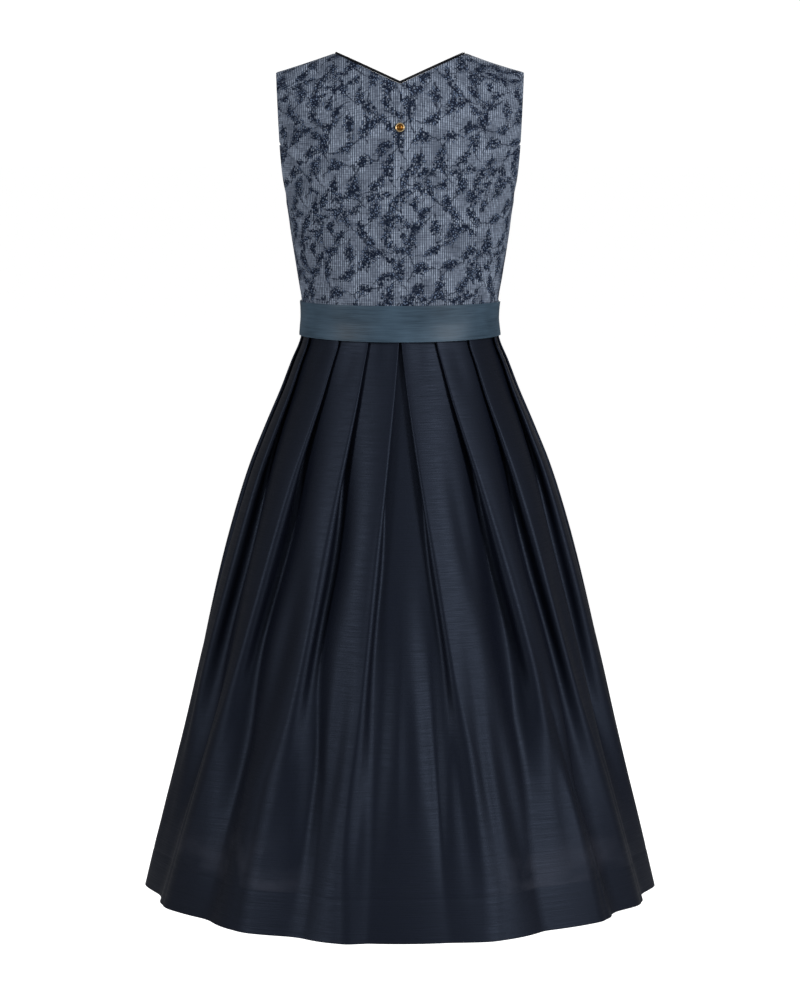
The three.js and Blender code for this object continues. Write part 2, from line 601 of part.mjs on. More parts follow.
seatDome('back_stud', STUD.radius, STUD.thickness, 'back', STUD.lift, STUD.stand);

export default dirndl;
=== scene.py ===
"""A sleeveless dirndl seen from behind: a jacquard bodice of eight panels with a piped neckline, a ribbon
waistband, and a knee-covering taffeta skirt laid in knife pleats that turn towards the centre back."""
import math

import bpy
import numpy as np
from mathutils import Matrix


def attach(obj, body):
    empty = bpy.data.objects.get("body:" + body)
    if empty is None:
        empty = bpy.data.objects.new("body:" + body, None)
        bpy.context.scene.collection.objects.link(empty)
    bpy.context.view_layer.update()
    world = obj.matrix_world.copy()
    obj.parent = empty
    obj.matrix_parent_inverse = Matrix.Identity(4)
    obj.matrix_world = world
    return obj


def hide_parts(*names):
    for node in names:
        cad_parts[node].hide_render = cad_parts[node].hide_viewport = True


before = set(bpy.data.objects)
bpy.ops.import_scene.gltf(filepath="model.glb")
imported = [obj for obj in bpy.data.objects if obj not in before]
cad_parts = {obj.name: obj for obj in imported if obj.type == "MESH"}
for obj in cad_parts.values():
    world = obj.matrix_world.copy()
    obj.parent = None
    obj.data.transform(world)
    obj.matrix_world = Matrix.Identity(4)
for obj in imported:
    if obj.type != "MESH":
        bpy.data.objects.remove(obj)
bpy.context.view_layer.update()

# The camera stands four metres behind the dress at shoulder height, tilted down a little.
CAMERA = {"away": 4.1, "tilt_down": 7.759, "lens": 118.09}
camera_data = bpy.data.cameras.new("camera")
camera_data.sensor_fit = "VERTICAL"
camera_data.sensor_height = 36.0
camera_data.lens = CAMERA["lens"]
camera = bpy.data.objects.new("camera", camera_data)
camera.location = (0.0, -CAMERA["away"], 0.0)
camera.rotation_euler = (math.radians(90.0 - CAMERA["tilt_down"]), 0.0, 0.0)
bpy.context.scene.collection.objects.link(camera)
bpy.context.scene.camera = camera
bpy.context.scene.view_settings.view_transform = "Standard"

# The studio: an even white surround, a wide pale floor well below the hem, four large soft boxes, and a
# small one low on the right. The camera sees surround and floor near white, whatever light they give.
ROOM_LIGHT, SURROUND_SEEN, FLOOR_SEEN = 0.14, 1.05, 0.9
FLOOR_Z, FLOOR_REACH = -1.5, 40.0


def add_node(tree, kind, inputs, **settings):
    """Puts a node in a tree, sets its properties, and sets its inputs, or links those given as sockets."""
    node = tree.nodes.new(kind)
    for key, value in settings.items():
        setattr(node, key, value)
    for key, value in inputs.items():
        if isinstance(value, bpy.types.NodeSocket):
            tree.links.new(value, node.inputs[key])
        else:
            node.inputs[key].default_value = value
    return node


def seen_directly(tree, lit, seen, socket):
    """Gives a strength one value for the light it sends and another for what the camera sees directly."""
    ray = add_node(tree, "ShaderNodeLightPath", {}).outputs["Is Camera Ray"]
    strength = add_node(tree, "ShaderNodeMapRange", {"Value": ray, "To Min": lit, "To Max": seen})
    tree.links.new(strength.outputs["Result"], socket)


world = bpy.data.worlds.new("white surround")
bpy.context.scene.world = world
world.use_nodes = True
surround = world.node_tree.nodes["Background"].inputs
surround["Color"].default_value = (1.0, 1.0, 1.0, 1.0)
seen_directly(world.node_tree, ROOM_LIGHT, SURROUND_SEEN, surround["Strength"])

floor_mesh = bpy.data.meshes.new("floor")
corners = [(x * FLOOR_REACH, y * FLOOR_REACH, FLOOR_Z) for x, y in ((-1, -1), (1, -1), (1, 1), (-1, 1))]
floor_mesh.from_pydata(corners, [], [(0, 1, 2, 3)])
floor = bpy.data.objects.new("floor", floor_mesh)
bpy.context.scene.collection.objects.link(floor)
floor_paint = bpy.data.materials.new("pale floor")
floor_paint.use_nodes = True
painted = floor_paint.node_tree.nodes["Principled BSDF"].inputs
painted["Base Color"].default_value = (0.7, 0.7, 0.7, 1.0)
painted["Roughness"].default_value = 0.9
painted["Emission Color"].default_value = (1.0, 1.0, 1.0, 1.0)
seen_directly(floor_paint.node_tree, 0.0, FLOOR_SEEN, painted["Emission Strength"])
floor_mesh.materials.append(floor_paint)


def soft_box(name, stands_at, looks_at, width, height, power):
    """A square-edged soft light of width by height metres, turned to face a point."""
    data = bpy.data.lights.new(name, "AREA")
    data.shape = "RECTANGLE"
    data.size, data.size_y = width, height
    data.energy = power
    lamp = bpy.data.objects.new(name, data)
    lamp.location = stands_at
    away = np.subtract(looks_at, stands_at)
    tilt = math.acos(-away[2] / np.linalg.norm(away))
    lamp.rotation_euler = (tilt, 0.0, math.atan2(away[1], away[0]) - math.pi / 2)
    bpy.context.scene.collection.objects.link(lamp)


soft_box("key soft box", (2.4, -2.38, 1.0), (0.0, 0.0, -0.4), 0.8, 1.5, 56.0)
soft_box("fill soft box", (-2.75, -2.1, 0.8), (0.0, 0.0, -0.4), 0.8, 1.5, 37.0)
soft_box("high soft box", (0.2, -1.2, 1.9), (0.0, 0.0, -0.2), 1.6, 1.0, 4.5)
soft_box("low soft box", (1.25, -0.95, -0.95), (0.0, 0.0, -0.85), 0.35, 0.6, 1.6)
soft_box("front soft box", (0.5, 3.4, 0.9), (0.0, 0.0, -0.4), 1.2, 1.5, 55.0)

# The bodice: eight panels of cotton jacquard cut close to the figure, joined by pressed-open seams down
# the centre back, the centre front, the sides and over the shoulder blades and bust. Each is faced inside
# with plain navy cotton. The seams show as fine sunk lines, and the pattern doesn't match across them.
FIGURE = {
    "z": [0, -60, -100, -125, -150, -185, -225, -268, -308, -330],
    "half_width": [165, 162.6, 159.6, 156.8, 152.2, 141.8, 135.8, 129.3, 123.2, 122.3],
    "back_depth": [98, 99, 100, 100.5, 101, 100, 97, 93, 90.5, 90],
    "front_depth": [116, 116, 117, 119, 122, 127, 122, 106, 95.5, 94],
}
ARMHOLE = {
    "z": [0, -60, -100, -125, -150, -170, -180, -185],
    "back": [0.94, 0.935, 0.94, 0.947, 0.96, 0.981, 0.995, 1],
    "front": [0.94, 0.915, 0.905, 0.918, 0.945, 0.976, 0.993, 1],
}
PANEL_SEAM = {
    "z": [-108, -125, -145, -170, -205, -260, -330],
    "back": [0.93, 0.86, 0.775, 0.715, 0.69, 0.715, 0.76],
    "front": [0.895, 0.8, 0.69, 0.6, 0.56, 0.57, 0.585],
}
SHOULDER_LINE = {"round": 25.0, "height": 38.85, "fall": 0.526, "level": 0.0008}
SHOULDER_ROLL, SHOULDER_FORWARD = 0.8, 4.0
BUST = {"swell": 9.0, "out": 72.0, "width": 40.0, "z": -205.0, "height": 46.0}
FULL_BACK_Z = -150.0
SHOULDER_TIP_Z = -22.0
NECK_HALF_WIDTH = 81.0
NECK_DROP = {"back": 37.0, "front": 140.0}
NECK_CURVE = {"back": 1.0, "front": 1.15}
BODICE_WALL = 1.5
SEAM_TURNS_OFF = 9.0
SEAM_MEETS_ARMHOLE = 18.0
SIDE_PANEL_TOP = 17.0
SEAM_SINK = {"depth": 0.55, "width": 1.3}
RIPPLE = {"depth": 0.3, "across": 19.0, "down": 27.0, "start": 1.3}
SHARP_EDGE = math.radians(50)
STEPS_ACROSS = {"centre": 40, "side": 26}

# Soft strain creases in the bodice: both ends as x and z, how wide and how deep, in mm
BODICE_CREASES = {
    "back": [
        (-118, -300, -86, -284, 7, 0.7), (116, -296, 80, -278, 8, 0.6), (-120, -268, -92, -262, 6, 0.5),
        (122, -262, 96, -252, 7, 0.5), (-140, -176, -104, -196, 8, 0.7), (140, -172, 108, -190, 8, 0.6),
        (-24, -300, -12, -262, 8, 0.4), (30, -302, 20, -270, 8, 0.4), (-128, -60, -104, -92, 10, 0.6),
        (126, -56, 104, -84, 10, 0.5),
    ],
    "front": [
        (-114, -298, -80, -280, 8, 0.7), (112, -300, 84, -286, 7, 0.6), (-122, -250, -98, -238, 8, 0.6),
        (124, -254, 96, -236, 8, 0.7), (-138, -180, -110, -192, 8, 0.8), (136, -176, 112, -194, 7, 0.7),
        (-36, -296, -44, -262, 9, 0.5), (40, -300, 46, -258, 9, 0.5),
    ],
}


def read_down(table, key, z):
    """Smooth cubic through a table's rows at heights z. A row's slope is the chord between its two
    neighbours; between rows the value is the cubic that has those values and slopes at both ends."""
    heights = np.array(table["z"][::-1], float)
    values = np.array(table[key][::-1], float)
    before = np.maximum(np.arange(len(heights)) - 1, 0)
    after = np.minimum(np.arange(len(heights)) + 1, len(heights) - 1)
    slopes = (values[after] - values[before]) / (heights[after] - heights[before])
    z = np.clip(z, heights[0], heights[-1])
    i = np.clip(np.searchsorted(heights, z, side="right") - 1, 0, len(heights) - 2)
    span = heights[i + 1] - heights[i]
    t = (z - heights[i]) / span
    start = (2 * t ** 3 - 3 * t ** 2 + 1) * values[i] + (t ** 3 - 2 * t ** 2 + t) * span * slopes[i]
    return start + (3 * t ** 2 - 2 * t ** 3) * values[i + 1] + (t ** 3 - t ** 2) * span * slopes[i + 1]


def shoulder_ridge(x):
    """Height of the shoulder line: height - fall a + level a squared, with a = sqrt(x squared + round squared)."""
    away = np.hypot(x, SHOULDER_LINE["round"])
    return SHOULDER_LINE["height"] - SHOULDER_LINE["fall"] * away + SHOULDER_LINE["level"] * away ** 2


def row_height(lift):
    """Height of a row at the armhole. A lift under 0 is the drop below the fullest level, in mm; above it,
    lift is the angle in degrees by which the row has climbed over the shoulder: z = full + rise sin(lift)."""
    climb = (SHOULDER_TIP_Z - FULL_BACK_Z) * np.sin(np.radians(np.maximum(lift, 0)))
    return FULL_BACK_Z + np.minimum(lift, 0) + climb


def bodice_point(face, turn, lift):
    """Point on the outside of the bodice in mm, at angle turn round the figure from the middle of the face:
    x = half width sin(turn), y = depth cos(turn) kept by a power of cos(lift), with the bust's swell."""
    z = row_height(lift)
    over = np.radians(np.maximum(lift, 0))
    keep = np.cos(over) ** SHOULDER_ROLL
    x = read_down(FIGURE, "half_width", z) * np.sin(turn)
    reach = read_down(FIGURE, face + "_depth", z) * np.cos(turn) * keep
    height = np.where(lift <= 0, z, FULL_BACK_Z + (shoulder_ridge(x) - FULL_BACK_Z) * np.sin(over))
    if face == "back":
        return np.stack([x, SHOULDER_FORWARD * (1 - keep) - reach, height], -1)
    off, above = (np.abs(x) - BUST["out"]) / BUST["width"], (height - BUST["z"]) / BUST["height"]
    bust = BUST["swell"] * np.exp(-off ** 2 - above ** 2)
    return np.stack([x, SHOULDER_FORWARD * (1 - keep) + reach + bust, height], -1)


def bodice_normal(face, turn, lift):
    """Unit normal that points away from the figure: the cross product of small steps along both directions."""
    across = bodice_point(face, turn + 0.004, lift) - bodice_point(face, turn - 0.004, lift)
    high = bodice_point(face, turn, np.clip(lift + 0.4, -180, 89.8))
    up = high - bodice_point(face, turn, np.clip(lift - 0.4, -180, 89.0))
    normal = np.cross(across, up)
    normal /= np.linalg.norm(normal, axis=-1, keepdims=True)
    return normal if face == "back" else -normal


def neckline(face, along):
    """Turn and lift of the neckline, along from 0 in the middle to 1 at the shoulder: its height runs from
    the neck's drop up to the shoulder line at the neck point, straight behind and slightly curved in front."""
    x = NECK_HALF_WIDTH * along
    z = -NECK_DROP[face] + (shoulder_ridge(NECK_HALF_WIDTH) + NECK_DROP[face]) * along ** NECK_CURVE[face]
    lift = np.degrees(np.arcsin(np.clip((z - FULL_BACK_Z) / (shoulder_ridge(x) - FULL_BACK_Z), 0, 1)))
    return np.arcsin(x / read_down(FIGURE, "half_width", row_height(lift))), lift


def panel_edge(face, lift):
    """Turn of the centre panel's outer edge: the curved seam, then the armhole above it, joined by a line."""
    seam = np.arcsin(read_down(PANEL_SEAM, face, row_height(np.minimum(lift, SEAM_TURNS_OFF))))
    armhole = np.arcsin(read_down(ARMHOLE, face, row_height(np.maximum(lift, SEAM_MEETS_ARMHOLE))))
    share = np.clip((lift - SEAM_TURNS_OFF) / (SEAM_MEETS_ARMHOLE - SEAM_TURNS_OFF), 0, 1)
    return seam + (armhole - seam) * share


def running_length(points):
    """Length along a line of points, from the first to each of them."""
    return np.concatenate([[0], np.cumsum(np.linalg.norm(np.diff(points, axis=0), axis=1))])


def cloth_coordinates(face, turn, lift):
    """Metres of cloth from the centre line and up from the waist: the arc of the section's ellipse from 0
    to turn, as the mean speed at 16 steps times turn, and the running length of one line up the panel."""
    z = row_height(lift)
    keep = np.cos(np.radians(np.maximum(lift, 0))) ** SHOULDER_ROLL
    half = read_down(FIGURE, "half_width", z)
    depth = read_down(FIGURE, face + "_depth", z) * keep
    step = turn[..., None] * (np.arange(16) + 0.5) / 16
    across = turn * np.hypot(half[..., None] * np.cos(step), depth[..., None] * np.sin(step)).mean(-1)
    rungs = np.linspace(-180, 90, 271)
    risen = running_length(bodice_point(face, np.full(271, 0.45), rungs))
    return across / 1000, np.interp(lift, rungs, risen) / 1000


def creases_on_bodice(face, points):
    """Sum of soft troughs in mm: each is depth times exp(-(distance from its line / width) squared)."""
    sunk = np.zeros(points.shape[:-1])
    for x0, z0, x1, z1, width, depth in BODICE_CREASES[face]:
        px, pz = points[..., 0] - x0, points[..., 2] - z0
        run = np.array([x1 - x0, z1 - z0], float)
        share = np.clip((px * run[0] + pz * run[1]) / (run @ run), 0, 1)
        sunk += depth * np.exp(-((px - share * run[0]) ** 2 + (pz - share * run[1]) ** 2) / width ** 2)
    return sunk


def put_in_scene(name, points, faces, map_name, flat, finishes):
    """Smooth-shaded piece from points in mm and faces, with the flat place of each point in its UV map."""
    mesh = bpy.data.meshes.new(name)
    mesh.from_pydata((points / 1000).tolist(), [], faces)
    for finish in finishes:
        mesh.materials.append(finish)
    mesh.polygons.foreach_set("use_smooth", np.ones(len(faces), bool))
    corner = np.empty(len(mesh.loops), np.int32)
    mesh.loops.foreach_get("vertex_index", corner)
    mesh.uv_layers.new(name=map_name).data.foreach_set("uv", flat[corner].astype(np.float32).ravel())
    mesh.update()
    piece = bpy.data.objects.new(name, mesh)
    bpy.context.scene.collection.objects.link(piece)
    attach(piece, "root")
    return piece


def tube_faces(count, sides):
    """Quads between each ring of points and the next, closed round the tube, and the rings' point numbers."""
    index = np.arange(count * sides).reshape(count, sides)
    following = np.roll(index, -1, axis=1)
    quads = np.stack([index[:-1], following[:-1], following[1:], index[1:]], -1).reshape(-1, 4)
    return quads, index, following


def sewn_piece(name, outer, inner, cloth, finishes):
    """Closed wall of cloth between two grids of points in mm. Quads cover both sides, and a strip of quads
    joins the two round all four edges. Cloth holds the flat place of each grid point in metres."""
    rows, cols = outer.shape[:2]
    count = rows * cols
    index = np.arange(count).reshape(rows, cols)
    outside = np.stack([index[:-1, :-1], index[:-1, 1:], index[1:, 1:], index[1:, :-1]], -1).reshape(-1, 4)
    inside = outside[:, ::-1] + count
    loop = np.concatenate([index[0, :-1], index[:-1, -1], index[-1, :0:-1], index[:0:-1, 0]])
    following = np.roll(loop, -1)
    rim = np.stack([following, loop, loop + count, following + count], -1)
    faces = np.concatenate([outside, inside, rim])
    points = np.concatenate([outer.reshape(-1, 3), inner.reshape(-1, 3)])
    a, b, c, d = (points[faces[:, k]] for k in range(4))
    if np.einsum("ij,ij->i", a, np.cross(b, c) + np.cross(c, d)).sum() < 0:
        faces = faces[:, ::-1]
    flat = np.concatenate([cloth.reshape(-1, 2), cloth.reshape(-1, 2)])
    piece = put_in_scene(name, points, faces.tolist(), "cloth", flat, finishes)
    lining = np.zeros(len(faces), np.int32)
    lining[len(outside):len(outside) + len(inside)] = len(finishes) - 1
    piece.data.polygons.foreach_set("material_index", lining)
    piece.data.set_sharp_from_angle(angle=SHARP_EDGE)
    return piece


def linear(red, green, blue):
    """Linear colour with full alpha from display values of 0 to 255."""
    value = np.array([red, green, blue]) / 255
    return (*np.where(value <= 0.04045, value / 12.92, ((value + 0.055) / 1.055) ** 2.4), 1.0)


def sum_of(tree, operation, *values, clamp=False):
    """Output of a Math node with these values or sockets."""
    inputs = dict(enumerate(values))
    return add_node(tree, "ShaderNodeMath", inputs, operation=operation, use_clamp=clamp).outputs[0]


def vector_of(tree, operation, *values):
    """Vector output of a Vector Math node with these values or sockets."""
    return add_node(tree, "ShaderNodeVectorMath", dict(enumerate(values)), operation=operation).outputs["Vector"]


def blend_of(tree, share, first, second):
    """Colour between two colours or sockets, at a share from 0 to 1."""
    return add_node(tree, "ShaderNodeMix", {0: share, 6: first, 7: second}, data_type="RGBA").outputs[2]


def step_of(tree, value, edge, slope):
    """Soft step across an edge: (value - edge) times slope, kept between 0 and 1. A slope under 0 falls."""
    return sum_of(tree, "MULTIPLY", sum_of(tree, "SUBTRACT", value, edge), slope, clamp=True)


def new_group(name, inputs, outputs):
    """Shader node group with float, vector or colour sockets; gives the tree, its entry and its exit."""
    tree = bpy.data.node_groups.new(name, "ShaderNodeTree")
    for label, kind in inputs.items():
        tree.interface.new_socket(label, in_out="INPUT", socket_type="NodeSocket" + kind)
    for label, kind in outputs.items():
        tree.interface.new_socket(label, in_out="OUTPUT", socket_type="NodeSocket" + kind)
    return tree, tree.nodes.new("NodeGroupInput"), tree.nodes.new("NodeGroupOutput")


def noise_of(tree, place, scale, detail, output="Fac"):
    """Noise at a place, as a share from 0 to 1 or as a colour."""
    inputs = {"Vector": place, "Scale": scale, "Detail": detail}
    return add_node(tree, "ShaderNodeTexNoise", inputs).outputs[output]


def cloth_material(name, roughness, specular):
    """New material with its shader's plain sockets set; gives it, its tree, its shader, and the flat place
    of the cloth in mm from the piece's own UV map."""
    material = bpy.data.materials.new(name)
    material.use_nodes = True
    tree = material.node_tree
    shader = tree.nodes["Principled BSDF"]
    shader.inputs["Roughness"].default_value = roughness
    shader.inputs["Specular IOR Level"].default_value = specular
    flat = add_node(tree, "ShaderNodeUVMap", {}, uv_map="cloth").outputs["UV"]
    place = add_node(tree, "ShaderNodeVectorMath", {0: flat, "Scale": 1000.0}, operation="SCALE").outputs[0]
    return material, tree, shader, place


def colour_and_relief(tree, shader, colour, height, strength, distance):
    """Links a colour to the shader, and a height to its normal as fine relief."""
    tree.links.new(colour, shader.inputs["Base Color"])
    relief = add_node(tree, "ShaderNodeBump", {"Height": height, "Strength": strength, "Distance": distance})
    tree.links.new(relief.outputs["Normal"], shader.inputs["Normal"])


# One spray of the woven pattern is a bent lens, 1 - x squared - |y - bend (1 - x squared)|, over 0 inside.
# Its stem is a thin line along the same bend that runs on past both ends of the lens.
HALF_REPEAT = (47.0, 78.5, 1.0)
spray, entry, leaves = new_group(
    "woven spray", {"Cloth": "Vector", "Place": "Vector", "Along": "Vector", "Across": "Vector", "Bend": "Float",
                    "Before": "Float", "Stem Before": "Float"}, {"Mask": "Float", "Stem": "Float"})
apart = vector_of(spray, "SUBTRACT", entry.outputs["Cloth"], entry.outputs["Place"])
nearest = vector_of(spray, "WRAP", apart, HALF_REPEAT, tuple(-half for half in HALF_REPEAT))
along, across = (
    add_node(spray, "ShaderNodeVectorMath", {0: nearest, 1: entry.outputs[axis]}, operation="DOT_PRODUCT")
    .outputs["Value"] for axis in ("Along", "Across"))
taper = sum_of(spray, "SUBTRACT", 1.0, sum_of(spray, "MULTIPLY", along, along))
bowed = sum_of(spray, "SUBTRACT", across, sum_of(spray, "MULTIPLY", taper, entry.outputs["Bend"]))
off_line = sum_of(spray, "ABSOLUTE", bowed)
inside_spray = sum_of(spray, "SUBTRACT", taper, off_line)
spray.links.new(sum_of(spray, "MAXIMUM", inside_spray, entry.outputs["Before"]), leaves.inputs["Mask"])
this_stem = sum_of(spray, "MULTIPLY", step_of(spray, off_line, 0.17, -9.0), step_of(spray, taper, -1.3, 4.0))
spray.links.new(sum_of(spray, "MAXIMUM", this_stem, entry.outputs["Stem Before"]), leaves.inputs["Stem"])

# The pattern's repeat is 94 mm wide and 157 mm high: one row per spray, with the place of its middle, its
# turn in degrees, its length, width and bend
REPEAT = [
    # u, v, turn, length, width, bend
    (0, 0, 92, 28, 20, 0.1), (3, -19, -62, 30, 13, -1.1), (17, -31, 8, 32, 13, -0.9), (31, -22, 52, 25, 12, 0.5),
    (11, 24, 58, 42, 13, 0.5), (23, 42, 78, 21, 16, 0.0), (-22, 15, 78, 32, 16, -0.6), (-33, -9, 104, 28, 13, 0.5),
    (-14, -45, 34, 30, 13, 1.0), (-35, -44, 72, 35, 16, -0.9), (39, 9, 112, 32, 13, 0.6),
    (42, 41, 62, 38, 13, -0.8), (27, 65, 20, 28, 16, 0.6), (4, 66, 84, 32, 16, 0.8), (-17, 49, 48, 32, 13, -0.6),
    (-38, 44, 94, 38, 16, 0.8), (-31, 72, 14, 25, 13, 0.2), (16, -58, 80, 35, 16, 0.6), (38, -62, 42, 30, 13, -0.9),
    (44, -38, 92, 23, 16, 0.0), (-4, -70, 12, 23, 13, 0.4), (8, 4, 20, 17, 10, 0.2), (-10, 84, 70, 17, 12, 0.0),
    (20, 8, 140, 22, 12, -0.9), (-20, -22, 120, 24, 12, 0.9), (30, 26, 10, 20, 11, 0.7), (-6, 30, 20, 20, 11, 0.8),
    (-44, 18, 30, 22, 11, -0.8), (2, -44, 150, 20, 11, 0.7), (-24, 32, 10, 20, 10, -0.7), (22, -8, 80, 20, 11, 0.8),
]

# The jacquard: sprays of small dark knots on a slate ground, whose pale warp shows as short upright dashes
RIB, DASH, PICK = 2.8, 3.4, 3.0
WANDER = (9.0, 9.0, 0.0)
GROUND, WARP, KNOT, GLINT = linear(31, 41, 62), linear(184, 198, 220), linear(15, 27, 48), linear(112, 128, 155)
jacquard, tree, shader, place = cloth_material("jacquard", 0.82, 0.2)
shake = vector_of(tree, "ADD", noise_of(tree, place, 0.16, 2.0, "Color"), (-0.5, -0.5, -0.5))
moved = vector_of(tree, "MULTIPLY_ADD", shake, WANDER, place)
mask, stem = -1.0, 0.0
for u, v, degrees, length, width, bend in REPEAT:
    c, s = math.cos(math.radians(degrees)), math.sin(math.radians(degrees))
    mask, stem = add_node(tree, "ShaderNodeGroup", {
        "Cloth": moved, "Place": (u, v, 0.0), "Along": (2 * c / length, 2 * s / length, 0.0),
        "Across": (-2 * s / width, 2 * c / width, 0.0), "Bend": bend, "Before": mask,
        "Stem Before": stem}, node_tree=spray).outputs
knots = add_node(tree, "ShaderNodeTexVoronoi", {"Vector": place, "Scale": 0.31, "Randomness": 0.9}).outputs
in_spray = step_of(tree, mask, -0.22, 5.0)
in_knot = step_of(tree, sum_of(tree, "MULTIPLY_ADD", mask, 0.3, 0.62), knots["Distance"], 5.0)
leaf = sum_of(tree, "MULTIPLY", in_knot, in_spray)
dark = sum_of(tree, "MAXIMUM", leaf, sum_of(tree, "MULTIPLY", stem, 0.85))

parts = add_node(tree, "ShaderNodeSeparateXYZ", {"Vector": place}).outputs
column = sum_of(tree, "DIVIDE", parts["X"], RIB)
column_number = sum_of(tree, "FLOOR", sum_of(tree, "ADD", column, 0.25))
start_of_dash = add_node(tree, "ShaderNodeTexWhiteNoise", {"W": column_number}, noise_dimensions="1D").outputs[0]
dash_number = sum_of(tree, "FLOOR", sum_of(tree, "ADD", sum_of(tree, "DIVIDE", parts["Y"], DASH), start_of_dash))
dash_cell = add_node(tree, "ShaderNodeCombineXYZ", {"X": column_number, "Y": dash_number}).outputs["Vector"]
dash = add_node(tree, "ShaderNodeTexWhiteNoise", {"Vector": dash_cell}, noise_dimensions="2D").outputs[0]
rib = sum_of(tree, "SINE", sum_of(tree, "MULTIPLY", column, 2 * math.pi))
pick = sum_of(tree, "SINE", sum_of(tree, "MULTIPLY", parts["Y"], 2 * math.pi / PICK))
warp = sum_of(tree, "MULTIPLY_ADD", rib, 0.9, sum_of(tree, "MULTIPLY_ADD", pick, 0.22, 0.22), clamp=True)
weft = noise_of(tree, vector_of(tree, "MULTIPLY", place, (0.05, 0.9, 0.0)), 1.0, 3.0)
raised = step_of(tree, noise_of(tree, place, 0.035, 2.0), 0.22, 2.3)
dash_tone = sum_of(tree, "MULTIPLY", warp, sum_of(tree, "MULTIPLY_ADD", dash, 0.9, 0.35))
dashes = sum_of(tree, "MULTIPLY", dash_tone, raised)
streaks = sum_of(tree, "MULTIPLY_ADD", weft, 1.3, -0.3, clamp=True)
pale = sum_of(tree, "MULTIPLY_ADD", dashes, 0.85, sum_of(tree, "MULTIPLY", streaks, 0.58))
ground = blend_of(tree, pale, GROUND, WARP)
knotted = blend_of(tree, dark, ground, KNOT)
middle = step_of(tree, knots["Distance"], 0.4, -7.0)
chosen = add_node(tree, "ShaderNodeSeparateXYZ", {"Vector": knots["Color"]}).outputs["X"]
pale_middle = sum_of(tree, "MULTIPLY", middle, step_of(tree, chosen, 0.1, 3.0))
glint = sum_of(tree, "MULTIPLY", pale_middle, in_spray)
ribbed = sum_of(tree, "MULTIPLY_ADD", weft, 0.5, sum_of(tree, "MULTIPLY", warp, 0.5))
colour_and_relief(tree, shader, blend_of(tree, glint, knotted, GLINT), ribbed, 0.35, 0.0006)

# The facing inside the bodice is plain navy cotton
facing, tree, shader, place = cloth_material("navy cotton facing", 0.85, 0.2)
threads = noise_of(tree, place, 1.4, 2.0)
tree.links.new(blend_of(tree, threads, linear(38, 45, 62), linear(58, 66, 84)), shader.inputs["Base Color"])

PANELS = [
    # name, face, part, side, shift of the pattern across and up in m
    ("back_left", "back", "centre", -1, 0.013, 0.031), ("back_right", "back", "centre", 1, 0.0, 0.0),
    ("side_back_left", "back", "side", -1, 0.041, 0.058), ("side_back_right", "back", "side", 1, 0.027, 0.102),
    ("front_left", "front", "centre", -1, 0.02, 0.077), ("front_right", "front", "centre", 1, 0.02, 0.077),
    ("side_front_left", "front", "side", -1, 0.066, 0.015), ("side_front_right", "front", "side", 1, 0.05, 0.12),
]
for name, face, part, side, shift_u, shift_v in PANELS:
    foot = float(neckline(face, 0.0)[1])
    rungs = np.concatenate([np.arange(-180, -40, 5), np.arange(-40, -20, 1.25), np.arange(-20, SIDE_PANEL_TOP, 2.5),
                            [SIDE_PANEL_TOP, foot]])
    if part == "centre":
        rungs = np.concatenate([rungs, np.arange(19, 90, 2.2), [90]])
    rungs = np.unique(rungs[rungs <= SIDE_PANEL_TOP] if part == "side" else rungs)
    share = (1 - np.cos(np.linspace(0, math.pi, STEPS_ACROSS[part] + 1))) / 2
    outer_turn = panel_edge(face, rungs)
    start_turn, start_lift = np.zeros_like(rungs), rungs.copy()
    if part == "side":
        start_turn, outer_turn = outer_turn, np.arcsin(read_down(ARMHOLE, face, row_height(rungs)))
    else:
        above = rungs > foot
        start_turn[above], start_lift[above] = neckline(face, (rungs[above] - foot) / (90 - foot))
    turn = start_turn[:, None] + (outer_turn - start_turn)[:, None] * share
    lift = start_lift[:, None] + (rungs - start_lift)[:, None] * share
    points, normals = bodice_point(face, turn, lift), bodice_normal(face, turn, lift)
    steps = np.linalg.norm(np.diff(points, axis=1), axis=-1)
    from_start = np.concatenate([np.zeros((len(rungs), 1)), np.cumsum(steps, axis=1)], axis=1)
    to_edge = np.minimum(from_start, from_start[:, -1:] - from_start)
    sink = SEAM_SINK["depth"] * np.exp(-(to_edge / SEAM_SINK["width"]) ** 2)
    points[..., 0] *= side
    normals[..., 0] *= side
    ripple = RIPPLE["depth"] * np.sin(points[..., 0] / RIPPLE["across"] + RIPPLE["start"]) * np.sin(
        points[..., 2] / RIPPLE["down"] + side)
    outer = points - normals * (sink + creases_on_bodice(face, points) + ripple * (to_edge > 0))[..., None]
    across, risen = cloth_coordinates(face, turn, lift)
    cloth = np.stack([side * across + shift_u, risen + shift_v], -1)
    panel = sewn_piece(name + "_cloth", outer, outer - normals * BODICE_WALL, cloth, [jacquard, facing])
    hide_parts(name)

# The skirt: navy taffeta, cut two metres wide at the hem, laid in fourteen knife pleats that are held flat
# by the waist seam, turn towards the centre back, and open into soft waves at the hem. Side seams join its
# back to its front, and the hem is turned up 50 mm and stitched by hand.
SKIRT_LINE = {
    "z": [-330, -355, -382, -418, -462, -515, -580, -660, -750, -850, -950, -1049.5],
    "half_width": [122.3, 125.2, 136.5, 150.5, 169.5, 191, 212, 234.5, 257.5, 280.5, 304, 326],
    "back_depth": [90, 94, 104, 119, 137, 158, 183, 210, 236, 263, 290, 321],
    "front_depth": [94, 97, 106, 119, 134, 152, 174, 197, 222, 248, 273, 298],
}
WAIST_Z, HEM_Z, HEM_TURN_Z = -330.0, -1049.5, -1000.0
SKIRT_WALL, HEM_WALL, HEM_STEP = 1.0, 1.6, 4.0
HEM_STITCH = {"depth": 0.28, "width": 1.8}
